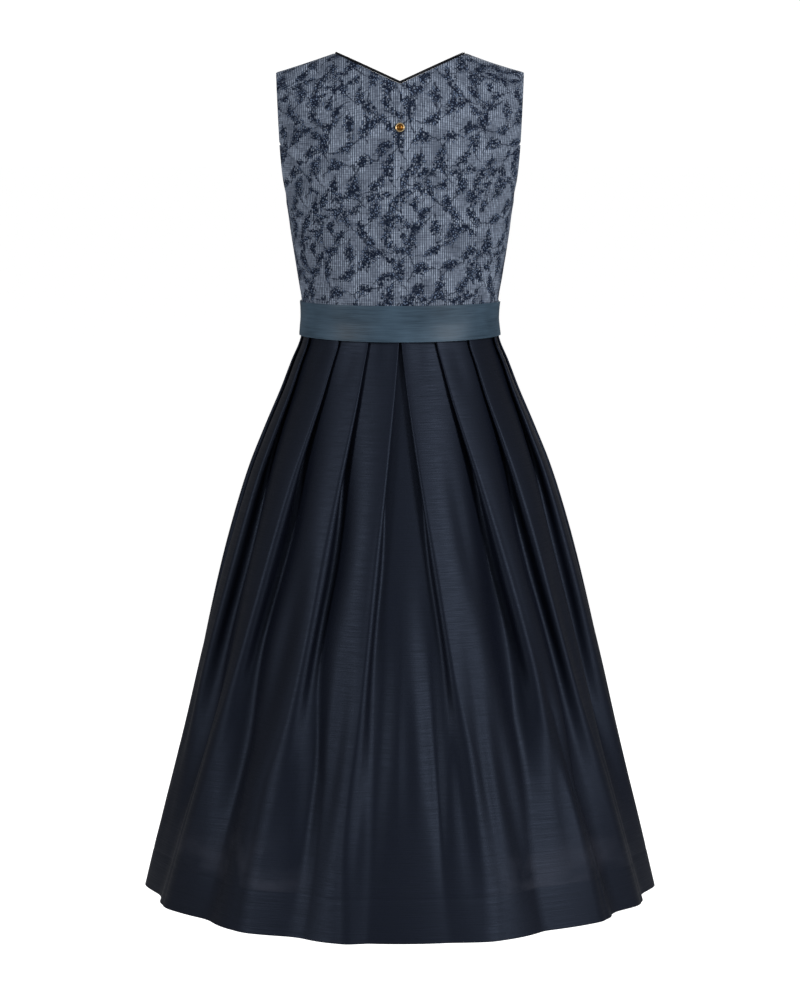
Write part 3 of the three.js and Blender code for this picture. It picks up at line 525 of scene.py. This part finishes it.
# Each pleat's ridge, as its angle round the dress from the centre back at the waist, half way down and at
# the hem, and how deep the valley in front of it is half way down and at the hem, in mm
PLEATS = {
    "left": {
        "waist": [0, 18, 37, 67, 91, 114, 137], "half": [8.5, 26.5, 49, 69, 97, 122, 146],
        "hem": [12, 36, 63, 85, 109, 134, 158], "fold": [15, 22, 24, 21, 20, 20, 18],
        "wave": [8, 12, 13, 12, 12, 12, 10],
    },
    "right": {
        "waist": [0, 20, 43, 73, 93, 115, 137], "half": [13, 38, 53.5, 73, 96, 122, 146],
        "hem": [20, 49, 66, 84, 105, 133, 157], "fold": [15, 24, 21, 20, 18, 20, 18],
        "wave": [8, 14, 11, 11, 12, 12, 12],
    },
}
PLEAT_DEPTH, HALF_WAY_DEPTH, STACK_HEIGHT, OPENING_LEAD = 26.0, -5.0, 6.6, 0.85
WAVE_SHARE, MOST_OPEN_SHARE = 0.5, 0.55
BEND = {"waist": 0.75, "middle": 8.0, "hem": 70.0, "room": 1.04}
SWELL = {"most": 5.5, "at_hem": 0.35, "starts_below": 50.0, "lead": 0.7}
ARC_STEPS, PANEL_STEPS, RETURN_STEPS, RING_STEPS, HALVINGS = 7, 12, 6, 120, 16
FIRST_RIDGE_OUT, SEAM_BEHIND_RIDGE = 0.8, 4
# Soft troughs in the skirt: angle at the top and at the foot, heights of both, how wide, how deep, in mm
SKIRT_CREASES = {
    "left": [
        (8, 9, -336, -400, 7, 0.9), (27, 29, -340, -420, 8, 1.0), (49, 52, -338, -410, 8, 1.1),
        (58, 61, -345, -440, 10, 1.0), (80, 82, -340, -430, 9, 1.2), (102, 104, -340, -430, 9, 1.1),
        (126, 129, -340, -420, 9, 1.0), (150, 155, -340, -430, 9, 1.1), (31, 41, -540, -900, 20, 7.8),
        (57, 69, -600, -980, 22, 9.1), (4, 7, -620, -1020, 14, 5.7), (14, 19, -640, -1030, 13, 5.2),
        (20, 27, -480, -760, 10, 2.6), (45, 50, -700, -1040, 15, 6.4), (40, 43, -470, -640, 9, 2.6),
        (74, 79, -680, -1030, 16, 5.4), (92, 100, -600, -960, 22, 4.3), (120, 127, -600, -960, 22, 4.3),
        (104, 115, -700, -1035, 16, 3.6), (146, 152, -640, -1020, 18, 3.6), (168, 170, -560, -960, 16, 3.1),
        (9, 11, -760, -1040, 10, 3.9), (22, 24, -700, -1045, 12, 5.5), (160, 157, -430, -1010, 24, 6.0),
        (174, 173, -560, -1045, 18, 5.0), (140, 143, -640, -1040, 15, 5.0),
    ],
    "right": [
        (10, 11, -338, -405, 8, 1.0), (31, 34, -336, -430, 9, 1.1), (55, 58, -342, -420, 8, 0.9),
        (64, 67, -345, -450, 9, 1.0), (84, 86, -340, -420, 9, 1.1), (104, 106, -340, -425, 9, 1.2),
        (127, 130, -342, -430, 9, 1.0), (151, 155, -340, -420, 9, 1.0), (29, 37, -560, -940, 20, 8.2),
        (57, 62, -540, -880, 18, 7.4), (6, 10, -580, -1000, 14, 5.2), (24, 31, -700, -1035, 14, 6.1),
        (18, 25, -450, -700, 10, 2.6), (41, 55, -660, -1040, 16, 6.9), (46, 50, -460, -620, 9, 1.6),
        (70, 76, -620, -1010, 16, 5.4), (90, 97, -580, -940, 22, 4.3), (118, 126, -620, -980, 22, 4.6),
        (108, 117, -680, -1030, 16, 3.6), (145, 151, -660, -1030, 18, 3.6), (167, 170, -600, -1000, 16, 3.1),
        (14, 17, -740, -1040, 10, 3.9), (2, 2, -700, -960, 9, 2.0), (19, 23, -620, -1035, 11, 5.5),
        (44, 44, -700, -1040, 12, 5.0), (9, 10, -640, -1040, 7, 3.5), (159, 158, -480, -1040, 24, 6.5),
        (176, 175, -520, -960, 17, 4.5), (136, 139, -600, -1030, 15, 5.0),
    ],
}


def semi_axes(z, angle):
    """Half width of the skirt's outline at heights z, and its depth: behind for the first quarter turn from
    the centre back, and in front after it."""
    behind, before = (read_down(SKIRT_LINE, key, z)[:, None] for key in ("back_depth", "front_depth"))
    return read_down(SKIRT_LINE, "half_width", z)[:, None], np.where(angle < math.pi / 2, behind, before)


def half_ring(z):
    """Running lengths round half of the skirt's outline at heights z, at even angles: the sum of
    sqrt((a cos)^2 + (b sin)^2) at the middle of each step, with a and b the semi-axes."""
    middle = (np.arange(RING_STEPS) + 0.5) / RING_STEPS * math.pi
    a, b = semi_axes(z, middle)
    steps = np.hypot(a * np.cos(middle), b * np.sin(middle)) * math.pi / RING_STEPS
    return np.concatenate([np.zeros((len(z), 1)), np.cumsum(steps, axis=1)], axis=1)


def angle_at(lengths, along):
    """Angle round the dress at each running length along its row's outline."""
    ring = np.linspace(0, math.pi, RING_STEPS + 1)
    return np.stack([np.interp(row, length, ring) for row, length in zip(along, lengths)])


def three_way(top, middle, low, t):
    """Eased change from top to middle over the first half of t, and on to low over the second."""
    first, second = np.clip(2 * t, 0, 1), np.clip(2 * t - 1, 0, 1)
    ease = first ** 2 * (3 - 2 * first), second ** 2 * (3 - 2 * second)
    return np.where(t < 0.5, top + (middle - top) * ease[0], middle + (low - middle) * ease[1])


def pleat_bends(side, z, lengths):
    """Round bends of one half of each row: a valley and a crest per pleat, with place along the outline,
    distance out from it and radius. Two equal bends fit a gap if they leave it some room; a pleat has the
    radius that fits its own gap and both beside it, each found by halving an interval up to the row's limit."""
    t = (WAIST_Z - z[:, None]) / (WAIST_Z - HEM_Z)
    pleat = {key: np.array(value, float) for key, value in PLEATS[side].items()}
    ridge = pleat["waist"] * (1 - t) * (1 - 2 * t) + pleat["half"] * 4 * t * (1 - t) + pleat["hem"] * t * (2 * t - 1)
    place = ridge / 180 * RING_STEPS
    whole = np.clip(place.astype(int), 0, RING_STEPS - 1)
    below = np.take_along_axis(lengths, whole, 1)
    beyond = np.take_along_axis(lengths, whole + 1, 1)
    at = np.maximum(below + (beyond - below) * (place - whole), FIRST_RIDGE_OUT)
    pitch = np.diff(at, axis=1, prepend=0)
    pitch[:, 0] = at[:, 0]
    opening = t ** OPENING_LEAD
    height = three_way(STACK_HEIGHT, pleat["fold"], pleat["wave"], opening)
    depth = np.maximum(three_way(PLEAT_DEPTH, HALF_WAY_DEPTH, -WAVE_SHARE * pitch, opening), -MOST_OPEN_SHARE * pitch)
    limit = three_way(BEND["waist"], BEND["middle"], BEND["hem"], t)[:, 0]
    lean = 1 - t[:, 0]

    def pair(k, r):
        valley = at[:, k] + depth[:, k] - r * lean, -SKIRT_WALL / 2 - height[:, k] + r, r
        return [valley, (at[:, k] + r * lean, -SKIRT_WALL / 2 - r, r)]

    def clear(first, second, r):
        return np.hypot(second[0] - first[0], second[1] - first[1]) > BEND["room"] * 2 * r

    def roundest(passes):
        low, high = np.full(len(z), BEND["waist"]), limit.copy()
        low = np.where(passes(high), high, low)
        for _ in range(HALVINGS):
            middle = (low + high) / 2
            good = passes(middle)
            low, high = np.where(good, middle, low), np.where(good, high, middle)
        return low

    count = at.shape[1]
    within = [roundest(lambda r: clear(*pair(k, r), r)) for k in range(count)]
    before = [roundest(lambda r: pair(0, r)[0][0] > SKIRT_WALL)]
    before += [roundest(lambda r: clear(pair(k - 1, r)[1], pair(k, r)[0], r)) for k in range(1, count)]
    bends = []
    for k in range(count):
        bends += pair(k, np.minimum.reduce([within[k], before[k], before[k + 1] if k + 1 < count else limit]))
    return bends


def pleated_half(side, z):
    """Outer and inner points of one half of the skirt in mm, from the centre back to the centre front. The
    path goes round each bend and along the common tangent to the next, and each panel swells out from its
    tangent as half a sine. The walls lie along the path's normal."""
    lengths = half_ring(z)
    bends = pleat_bends(side, z, lengths)
    ones = np.ones(len(z))
    swell_top = WAIST_Z - SWELL["starts_below"]
    lower = np.clip((swell_top - z) / (swell_top - HEM_Z), 0, 1) ** SWELL["lead"]
    swollen = three_way(0.0, 1.0, SWELL["at_hem"], lower)
    headings = []
    for (s0, n0, r0), (s1, n1, r1), sign in zip(bends[:-1], bends[1:], [1, -1] * len(bends)):
        straight = np.sqrt(np.maximum((s1 - s0) ** 2 + (n1 - n0) ** 2 - (r0 + r1) ** 2, 0))
        headings.append(np.arctan2(n1 - n0, s1 - s0) + sign * np.arctan2(r0 + r1, straight))
    path = [np.stack([0 * ones, bends[0][1] - bends[0][2], 0 * ones], -1)[:, None]]

    def run_to(target, steps, swell=0.0):
        share = (np.arange(1, steps) / steps)[:, None]
        line = path[-1][:, -1:] * (1 - share) + target[:, None] * share
        line[..., 1] += np.reshape(swell, (-1, 1)) * np.sin(math.pi * share[:, 0])
        line[..., 2] = target[:, None, 2]
        path.append(line)

    for i, (s, n, r) in enumerate(bends):
        sign = 1 if i % 2 == 0 else -1
        comes = headings[i - 1] if i else 0 * ones
        goes = headings[i] if i < len(headings) else 0 * ones
        near = comes + sign * math.pi / 2
        goes = near + np.mod(goes - near + math.pi, 2 * math.pi) - math.pi
        angle = comes[:, None] + (goes - comes)[:, None] * np.linspace(0, 1, ARC_STEPS + 1)
        arc = np.stack([s[:, None] + sign * r[:, None] * np.sin(angle),
                        n[:, None] - sign * r[:, None] * np.cos(angle), angle], -1)
        if sign > 0:
            run_to(arc[:, 0], PANEL_STEPS, SWELL["most"] * swollen if i else 0.0)
        else:
            run_to(arc[:, 0], RETURN_STEPS)
        path.append(arc)
    end = np.stack([lengths[:, -1], -SKIRT_WALL / 2 * ones, 0 * ones], -1)
    run_to(end, PANEL_STEPS)
    path.append(end[:, None])
    path = np.concatenate(path, axis=1)
    out = path[..., 1] - creases_on_skirt(side, np.degrees(angle_at(lengths, path[..., 0])), z)
    doubled = np.clip((HEM_TURN_Z + HEM_STEP - z) / HEM_STEP, 0, 1)[:, None]
    wall = SKIRT_WALL + (HEM_WALL - SKIRT_WALL) * doubled
    mirror = 1 if side == "right" else -1
    walls = []
    for shift in (SKIRT_WALL / 2, SKIRT_WALL / 2 - wall):
        s = path[..., 0] - np.sin(path[..., 2]) * shift
        n = out + np.cos(path[..., 2]) * shift
        turn = angle_at(lengths, s)
        a, b = semi_axes(z, turn)
        normal = np.stack([b * np.sin(turn), -a * np.cos(turn)], -1)
        normal /= np.linalg.norm(normal, axis=-1, keepdims=True)
        x, y = a * np.sin(turn) + normal[..., 0] * n, -b * np.cos(turn) + normal[..., 1] * n
        walls.append(np.stack([mirror * x, y, np.broadcast_to(z[:, None], x.shape)], -1))
    return walls


def creases_on_skirt(side, degrees, z):
    """Sum of soft troughs in mm, each depth times exp(-(arc from its line / width)^2) times the square of the
    sine of its share of the way from one end, at 0, to the other, at pi."""
    sunk = np.zeros(degrees.shape)
    half_width = read_down(SKIRT_LINE, "half_width", z)[:, None]
    for top, foot, z_top, z_foot, width, depth in SKIRT_CREASES[side]:
        share = np.clip(((z - z_top) / (z_foot - z_top))[:, None], 0, 1)
        arc = np.radians(degrees - top - (foot - top) * share) * half_width
        fade = np.sin(math.pi * share) ** 2
        sunk += depth * fade * np.exp(-(arc / width) ** 2)
    return sunk


# Slubbed cloth: fine threads across the cloth with thicker ones here and there, as a tone and a height
slub, entry, threads = new_group("slubbed weave", {"Cloth": "Vector", "Length": "Float", "Thread": "Float"},
                                 {"Tone": "Float", "Height": "Float"})
flat = add_node(slub, "ShaderNodeSeparateXYZ", {"Vector": entry.outputs["Cloth"]}).outputs
fine = add_node(slub, "ShaderNodeCombineXYZ", {
    "X": sum_of(slub, "DIVIDE", flat["X"], entry.outputs["Length"]),
    "Y": sum_of(slub, "DIVIDE", flat["Y"], entry.outputs["Thread"])}).outputs["Vector"]
fine_threads = sum_of(slub, "MULTIPLY", noise_of(slub, fine, 1.0, 2.0), 0.55)
thick = noise_of(slub, vector_of(slub, "MULTIPLY", fine, (0.45, 0.4, 1.0)), 1.0, 1.0)
both = sum_of(slub, "ADD", fine_threads, sum_of(slub, "MULTIPLY", thick, 0.45))
tone = sum_of(slub, "MULTIPLY_ADD", sum_of(slub, "SUBTRACT", both, 0.5), 2.6, 0.5, clamp=True)
slub.links.new(tone, threads.inputs["Tone"])
slub.links.new(both, threads.inputs["Height"])

# The last of these colours is painted light: light let through the single layer above the hem
DEEP_NAVY, NAVY, CLOUDED_NAVY, LIGHT_THROUGH_ONE_LAYER = (
    linear(3, 5, 12), linear(14, 16, 29), linear(18, 22, 34), linear(44, 45, 54))
taffeta, tree, shader, place = cloth_material("navy taffeta", 0.54, 0.42)
shader.inputs["Specular Tint"].default_value = (0.56, 0.7, 1.0, 1.0)
woven = add_node(tree, "ShaderNodeGroup", {"Cloth": place, "Length": 20.0, "Thread": 0.7}, node_tree=slub).outputs
cloudy = sum_of(tree, "MULTIPLY", noise_of(tree, place, 0.008, 2.0), 0.3)
clouded = blend_of(tree, cloudy, blend_of(tree, woven["Tone"], DEEP_NAVY, NAVY), CLOUDED_NAVY)
# Painted light: the single layer just above the turned-up hem lets some light through, and this is
# painted as a paler colour in two places on each face, given here in metres
PATCH_OUT, PATCH_HALF_WIDTH = 0.205, 0.105
PATCH_TOP, PATCH_FADES = -0.93, -0.99
at_object = add_node(tree, "ShaderNodeTexCoord", {}).outputs["Object"]
on_skirt = add_node(tree, "ShaderNodeSeparateXYZ", {"Vector": at_object}).outputs
out_from = sum_of(tree, "SUBTRACT", sum_of(tree, "ABSOLUTE", on_skirt["X"]), PATCH_OUT)
two_places = step_of(tree, sum_of(tree, "ABSOLUTE", out_from), PATCH_HALF_WIDTH, -18.0)
over_hem = add_node(tree, "ShaderNodeMapRange", {
    "Value": on_skirt["Z"], 1: PATCH_FADES, 2: PATCH_TOP, 3: 1.0, 4: 0.0}).outputs["Result"]
above_turn = step_of(tree, on_skirt["Z"], HEM_TURN_Z / 1000, 400.0)
patch = sum_of(tree, "MULTIPLY", step_of(tree, noise_of(tree, place, 0.022, 3.0), 0.4, 5.0), two_places)
# Painted light: paler where light comes through the single layer above the turned-up hem
painted_light_through = sum_of(tree, "MULTIPLY", sum_of(tree, "MULTIPLY", over_hem, above_turn), sum_of(tree, "MULTIPLY", patch, 0.8))
colour_and_relief(tree, shader, blend_of(tree, painted_light_through, clouded, LIGHT_THROUGH_ONE_LAYER), woven["Height"], 0.5, 0.0005)
tree.links.new(sum_of(tree, "MULTIPLY_ADD", woven["Tone"], -0.16, 0.61), shader.inputs["Roughness"])

rows = np.concatenate([np.linspace(-330.3, -420, 20), np.linspace(-427, -992, 82),
                       [-996, -998.5, -1000, -1001.5, -1003], np.linspace(-1008, HEM_Z, 9)])
left, right = (pleated_half(side, rows) for side in ("left", "right"))
per_pleat = 2 * (ARC_STEPS + 1) + PANEL_STEPS - 1 + RETURN_STEPS - 1
seam = SEAM_BEHIND_RIDGE * per_pleat + PANEL_STEPS // 2
stitched = HEM_STITCH["depth"] * np.exp(-((rows - HEM_TURN_Z) / HEM_STITCH["width"]) ** 2)[:, None, None]
behind = [np.concatenate([l[:, seam:0:-1], r[:, :seam + 1]], axis=1) for l, r in zip(left, right)]
before = [np.concatenate([r[:, seam:-1], l[:, :seam - 1:-1]], axis=1) for l, r in zip(left, right)]
for name, outer, inner in (("skirt_back", *behind), ("skirt_front", *before)):
    through = outer - inner
    through /= np.linalg.norm(through, axis=-1, keepdims=True)
    outer = outer - through * stitched
    steps = np.linalg.norm(np.diff(outer, axis=1), axis=-1)
    across = np.concatenate([[0], np.cumsum(steps.mean(0))])
    down = np.concatenate([[0], np.cumsum(np.linalg.norm(np.diff(outer, axis=0), axis=-1).mean(1))])
    cloth = np.stack(np.broadcast_arrays(across[None, :], -down[:, None]), -1) / 1000
    panel = sewn_piece(name + "_cloth", outer, inner, cloth, [taffeta])
    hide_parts(name)

# The neck binding: a round piping of near-black satin, cut on the bias and sewn along the neck edge, with
# a mitre at the point of each neckline.
PIPING = {"radius": 1.6, "gap": 0.3, "rings": 71, "sides": 16}
# Share of each neckline beside the mitre that is bare of rings, so that none reaches past the centre line
MITRE = {"back": 0.024, "front": 0.05}
satin, tree, shader, place = cloth_material("black satin piping", 0.5, 0.2)
on_bias = {"Vector": place, "Rotation": (0.0, 0.0, 0.785), "Scale": (0.4, 3.0, 1.0)}
twill = noise_of(tree, add_node(tree, "ShaderNodeMapping", on_bias).outputs["Vector"], 1.0, 2.0)
colour_and_relief(tree, shader, blend_of(tree, twill, linear(8, 9, 13), linear(22, 23, 30)), twill, 0.25, 0.0003)
for face in ("back", "front"):
    turn, lift = neckline(face, np.concatenate([[0], np.linspace(MITRE[face], 1, PIPING["rings"] - 1)]))
    normal, surface = bodice_normal(face, turn, lift), bodice_point(face, turn, lift)
    forward = np.gradient(surface, axis=0)
    forward /= np.linalg.norm(forward, axis=-1, keepdims=True)
    away = np.cross(normal, forward)
    away /= np.linalg.norm(away, axis=-1, keepdims=True)
    away *= np.where(away[:, 2:] < 0, -1.0, 1.0)
    # The ring at the mitre lies in the middle plane and is as much longer as the slanted cut makes it
    away[0, 0], normal[0, 0] = 0.0, 0.0
    away[0] /= away[0] @ away[0]
    normal[0] /= np.linalg.norm(normal[0])
    centre = surface - normal * BODICE_WALL / 2 + away * (PIPING["radius"] + PIPING["gap"])
    phi = np.linspace(0, 2 * math.pi, PIPING["sides"] + 1)[:-1]
    spokes = away[:, None] * np.cos(phi)[:, None] + normal[:, None] * np.sin(phi)[:, None]
    rings = centre[:, None] + PIPING["radius"] * spokes
    rings = np.concatenate([rings[:0:-1] * (-1, 1, 1), rings])
    faces, index, following = tube_faces(*rings.shape[:2])
    caps = [index[0].tolist(), index[-1][::-1].tolist()]
    if face == "front":
        faces = faces[:, ::-1]
    else:
        caps = [cap[::-1] for cap in caps]
    run = running_length(rings[:, 0])
    flat = np.stack(np.broadcast_arrays(run[:, None], PIPING["radius"] * phi[None, :]), -1).reshape(-1, 2) / 1000
    piping = put_in_scene(f"neck_binding_{face}_piping", rings.reshape(-1, 3), faces.tolist() + caps, "cloth",
                          flat, [satin])
    piping.data.set_sharp_from_angle(angle=SHARP_EDGE)
    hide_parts(f"neck_binding_{face}")

# The waistband: a slubbed steel-blue ribbon 43 mm wide, laid over the seam between bodice and skirt, sewn
# to it along both edges, and lapped in front a little to one side.
BAND = {"top": -307.0, "bottom": -349.5, "cut": 43.2, "wall": 1.2, "dip": 2.0, "stand": 0.8}
LAP = {"turn": 372.0, "starts": 0.95, "climb": 0.018, "height": 1.8}
# How much the ribbon waves in its middle and all over, how far from its ends it lies flat, and how its
# edges are rounded
UNEVEN = {"middle": 0.35, "all_over": 0.25, "flat_end": 0.04, "fades": 0.05, "rounding": 0.35, "edge": 0.03}
DULL_BLUE, STEEL_BLUE = linear(40, 58, 73), linear(82, 106, 126)
ribbon, tree, shader, place = cloth_material("slubbed ribbon", 0.45, 0.35)
woven = add_node(tree, "ShaderNodeGroup", {"Cloth": place, "Length": 22.0, "Thread": 0.8}, node_tree=slub).outputs
blotched = sum_of(tree, "MULTIPLY_ADD", noise_of(tree, place, 0.016, 2.0), 1.5, -0.55)
tone = sum_of(tree, "MULTIPLY_ADD", woven["Tone"], 0.55, blotched, clamp=True)
colour_and_relief(tree, shader, blend_of(tree, tone, DULL_BLUE, STEEL_BLUE), woven["Height"], 0.3, 0.0004)


def band_rows(share, around, out):
    """Points of the band in mm at shares down its width and round it: the larger of the bodice's and the
    skirt's outlines, moved out along the normal by its stand, and by the lap where its end lies on top. The
    outside is rounded at its edges and swells by two slow waves, which fade out where the ends are lapped."""
    angle = np.radians(around * LAP["turn"] - LAP["turn"] / 2)
    z = BAND["top"] + (BAND["bottom"] - BAND["top"]) * share - share * BAND["dip"] * np.maximum(0, np.cos(angle)) ** 2
    half, back, front = (np.maximum(read_down(FIGURE, key, z), read_down(SKIRT_LINE, key, z))
                         for key in ("half_width", "back_depth", "front_depth"))
    depth = np.where(np.cos(angle) > 0, back, front)
    t = np.clip((around - LAP["starts"]) / LAP["climb"], 0, 1)
    lap = t * t * (3 - 2 * t) * LAP["height"]
    normal = np.stack([depth * np.sin(angle), -half * np.cos(angle), np.zeros_like(angle)], -1)
    normal /= np.linalg.norm(normal, axis=-1, keepdims=True)
    flat_end = np.clip((np.minimum(around, 1 - around) - UNEVEN["flat_end"]) / UNEVEN["fades"], 0, 1)
    soft = flat_end * (UNEVEN["middle"] * np.sin(around * 83) * np.sin(share * math.pi)
                       + UNEVEN["all_over"] * np.sin(around * 37 + 5 * share))
    rounded = UNEVEN["rounding"] * (1 - np.exp(-(np.minimum(share, 1 - share) / UNEVEN["edge"]) ** 2))
    outward = BAND["stand"] + lap + out + (soft + rounded) * (out > 0)
    return np.stack([half * np.sin(angle), -depth * np.cos(angle), z], -1) + normal * outward[..., None]


down, round_waist = (1 - np.cos(np.linspace(0, math.pi, 19))) / 2, np.linspace(0, 1, 421)
share, around = np.meshgrid(down, round_waist, indexing="ij")
outer, inner = (band_rows(share, around, out) for out in (BAND["wall"], 0.0))
run = running_length(outer[len(down) // 2])
cloth = np.stack([np.broadcast_to(run, share.shape), share * (BAND["bottom"] - BAND["top"])], -1) / 1000
band = sewn_piece("waistband_ribbon", outer, inner, cloth, [ribbon])
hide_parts("waistband")

# The placket: a strip of the jacquard 22 mm wide, laid over the opening down the centre front and
# edge-stitched. It carries the six buttons.
PLACKET = {"half_width": 11.0, "top": 1.2, "wall": 1.2, "stand": 0.6}
EDGE_STITCH = {"in_from_edge": 2.2, "depth": 0.3, "width": 0.5, "edge_width": 0.6}
rungs = np.linspace(BAND["top"] + 1 - FULL_BACK_Z, PLACKET["top"], 60)[:, None]
offset = PLACKET["half_width"] * -np.cos(np.linspace(0, math.pi, 21))
turn = np.arcsin(offset / read_down(FIGURE, "half_width", row_height(rungs)))
lift = np.broadcast_to(rungs, turn.shape)
points, normals = bodice_point("front", turn, lift), bodice_normal("front", turn, lift)
edge = PLACKET["half_width"] - np.abs(offset)
stitch = EDGE_STITCH["depth"] * np.exp(-((edge - EDGE_STITCH["in_from_edge"]) / EDGE_STITCH["width"]) ** 2)
stitch += EDGE_STITCH["depth"] * np.exp(-(edge / EDGE_STITCH["edge_width"]) ** 2)
outer = points + normals * (PLACKET["stand"] + PLACKET["wall"] - stitch[None, :, None])
across, risen = cloth_coordinates("front", turn, lift)
cloth = np.stack([across + 0.06, risen + 0.04], -1)
placket = sewn_piece("front_placket_cloth", outer, points + normals * PLACKET["stand"], cloth, [jacquard, facing])
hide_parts("front_placket")

# The buttons and the stud: stamped gilt metal, each with a raised rim, a sunk field and a small domed
# middle. The buttons are sewn to the placket, and the stud below the back neck.
BUTTON = {"count": 6, "first_z": -163.0, "last_z": -293.0, "stand": 0.6, "radius": 5.5, "thickness": 3.0}
STUD = {"lift": 20.0, "stand": 0.45, "radius": 5.8, "thickness": 2.6}
PALE_GILT, DARK_GILT = linear(240, 214, 166), linear(146, 98, 42)
gilt = bpy.data.materials.new("stamped gilt metal")
gilt.use_nodes = True
tree = gilt.node_tree
shader = tree.nodes["Principled BSDF"]
shader.inputs["Metallic"].default_value = 1.0
place = add_node(tree, "ShaderNodeUVMap", {}, uv_map="profile").outputs["UV"]
ring = add_node(tree, "ShaderNodeSeparateXYZ", {"Vector": place}).outputs
hollow = step_of(tree, ring["Y"], 0.5, 12.0)
at_object = add_node(tree, "ShaderNodeTexCoord", {}).outputs["Object"]
worn = noise_of(tree, at_object, 900.0, 3.0)
tree.links.new(blend_of(tree, hollow, PALE_GILT, DARK_GILT), shader.inputs["Base Color"])
tree.links.new(sum_of(tree, "MULTIPLY_ADD", worn, 0.25, 0.2), shader.inputs["Roughness"])
PROFILE = {  # radius and height as shares of the whole, from the middle of the underside round to the top
    "radius": [0.0, 0.55, 0.9, 0.97, 1.0, 0.99, 0.95, 0.88, 0.8, 0.74, 0.66, 0.55, 0.42, 0.34, 0.22, 0.1, 0.0],
    "height": [0.0, 0.0, 0.02, 0.12, 0.35, 0.6, 0.8, 0.88, 0.82, 0.66, 0.58, 0.58, 0.62, 0.78, 0.92, 0.99, 1.0],
}


def spun_metal(name, seat, normal, radius, thickness):
    """Solid of revolution about the normal at its seat: the profile carried round in 48 steps, with one
    point at each pole."""
    r, h = np.array(PROFILE["radius"]) * radius, np.array(PROFILE["height"]) * thickness
    phi = np.linspace(0, 2 * math.pi, 49)[:-1]
    first = np.cross(normal, (1.0, 0.0, 0.0))
    first /= np.linalg.norm(first)
    second = np.cross(normal, first)
    body = seat + normal * h[1:-1, None, None] + r[1:-1, None, None] * (
        first * np.cos(phi)[None, :, None] + second * np.sin(phi)[None, :, None])
    walls, index, following = tube_faces(*body.shape[:2])
    low, high = index.size, index.size + 1
    ends = [(low, b, a) for a, b in zip(index[0].tolist(), following[0].tolist())]
    ends += [(high, a, b) for a, b in zip(index[-1].tolist(), following[-1].tolist())]
    points = np.concatenate([body.reshape(-1, 3), [seat + normal * h[0]], [seat + normal * h[-1]]])
    profile = np.linspace(0, 1, len(r))[1:-1, None]
    flat = np.stack(np.broadcast_arrays(phi[None, :] / (2 * math.pi), profile), -1).reshape(-1, 2)
    flat = np.concatenate([flat, [[0.5, 0.0], [0.5, 1.0]]])
    metal = put_in_scene(name, points, walls.tolist() + ends, "profile", flat, [gilt])
    return metal


for number in range(BUTTON["count"]):
    z = BUTTON["first_z"] + (BUTTON["last_z"] - BUTTON["first_z"]) * number / (BUTTON["count"] - 1)
    turn, lift = np.array(0.0), np.array(z - FULL_BACK_Z)
    normal = bodice_normal("front", turn, lift)
    seat = bodice_point("front", turn, lift) + normal * (PLACKET["stand"] + PLACKET["wall"] + BUTTON["stand"])
    button = spun_metal(f"button_{number + 1}_gilt", seat, normal, BUTTON["radius"], BUTTON["thickness"])
    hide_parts(f"button_{number + 1}")
turn, lift = np.array(0.0), np.array(STUD["lift"])
normal = bodice_normal("back", turn, lift)
seat = bodice_point("back", turn, lift) + normal * STUD["stand"]
stud = spun_metal("back_stud_gilt", seat, normal, STUD["radius"], STUD["thickness"])
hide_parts("back_stud")
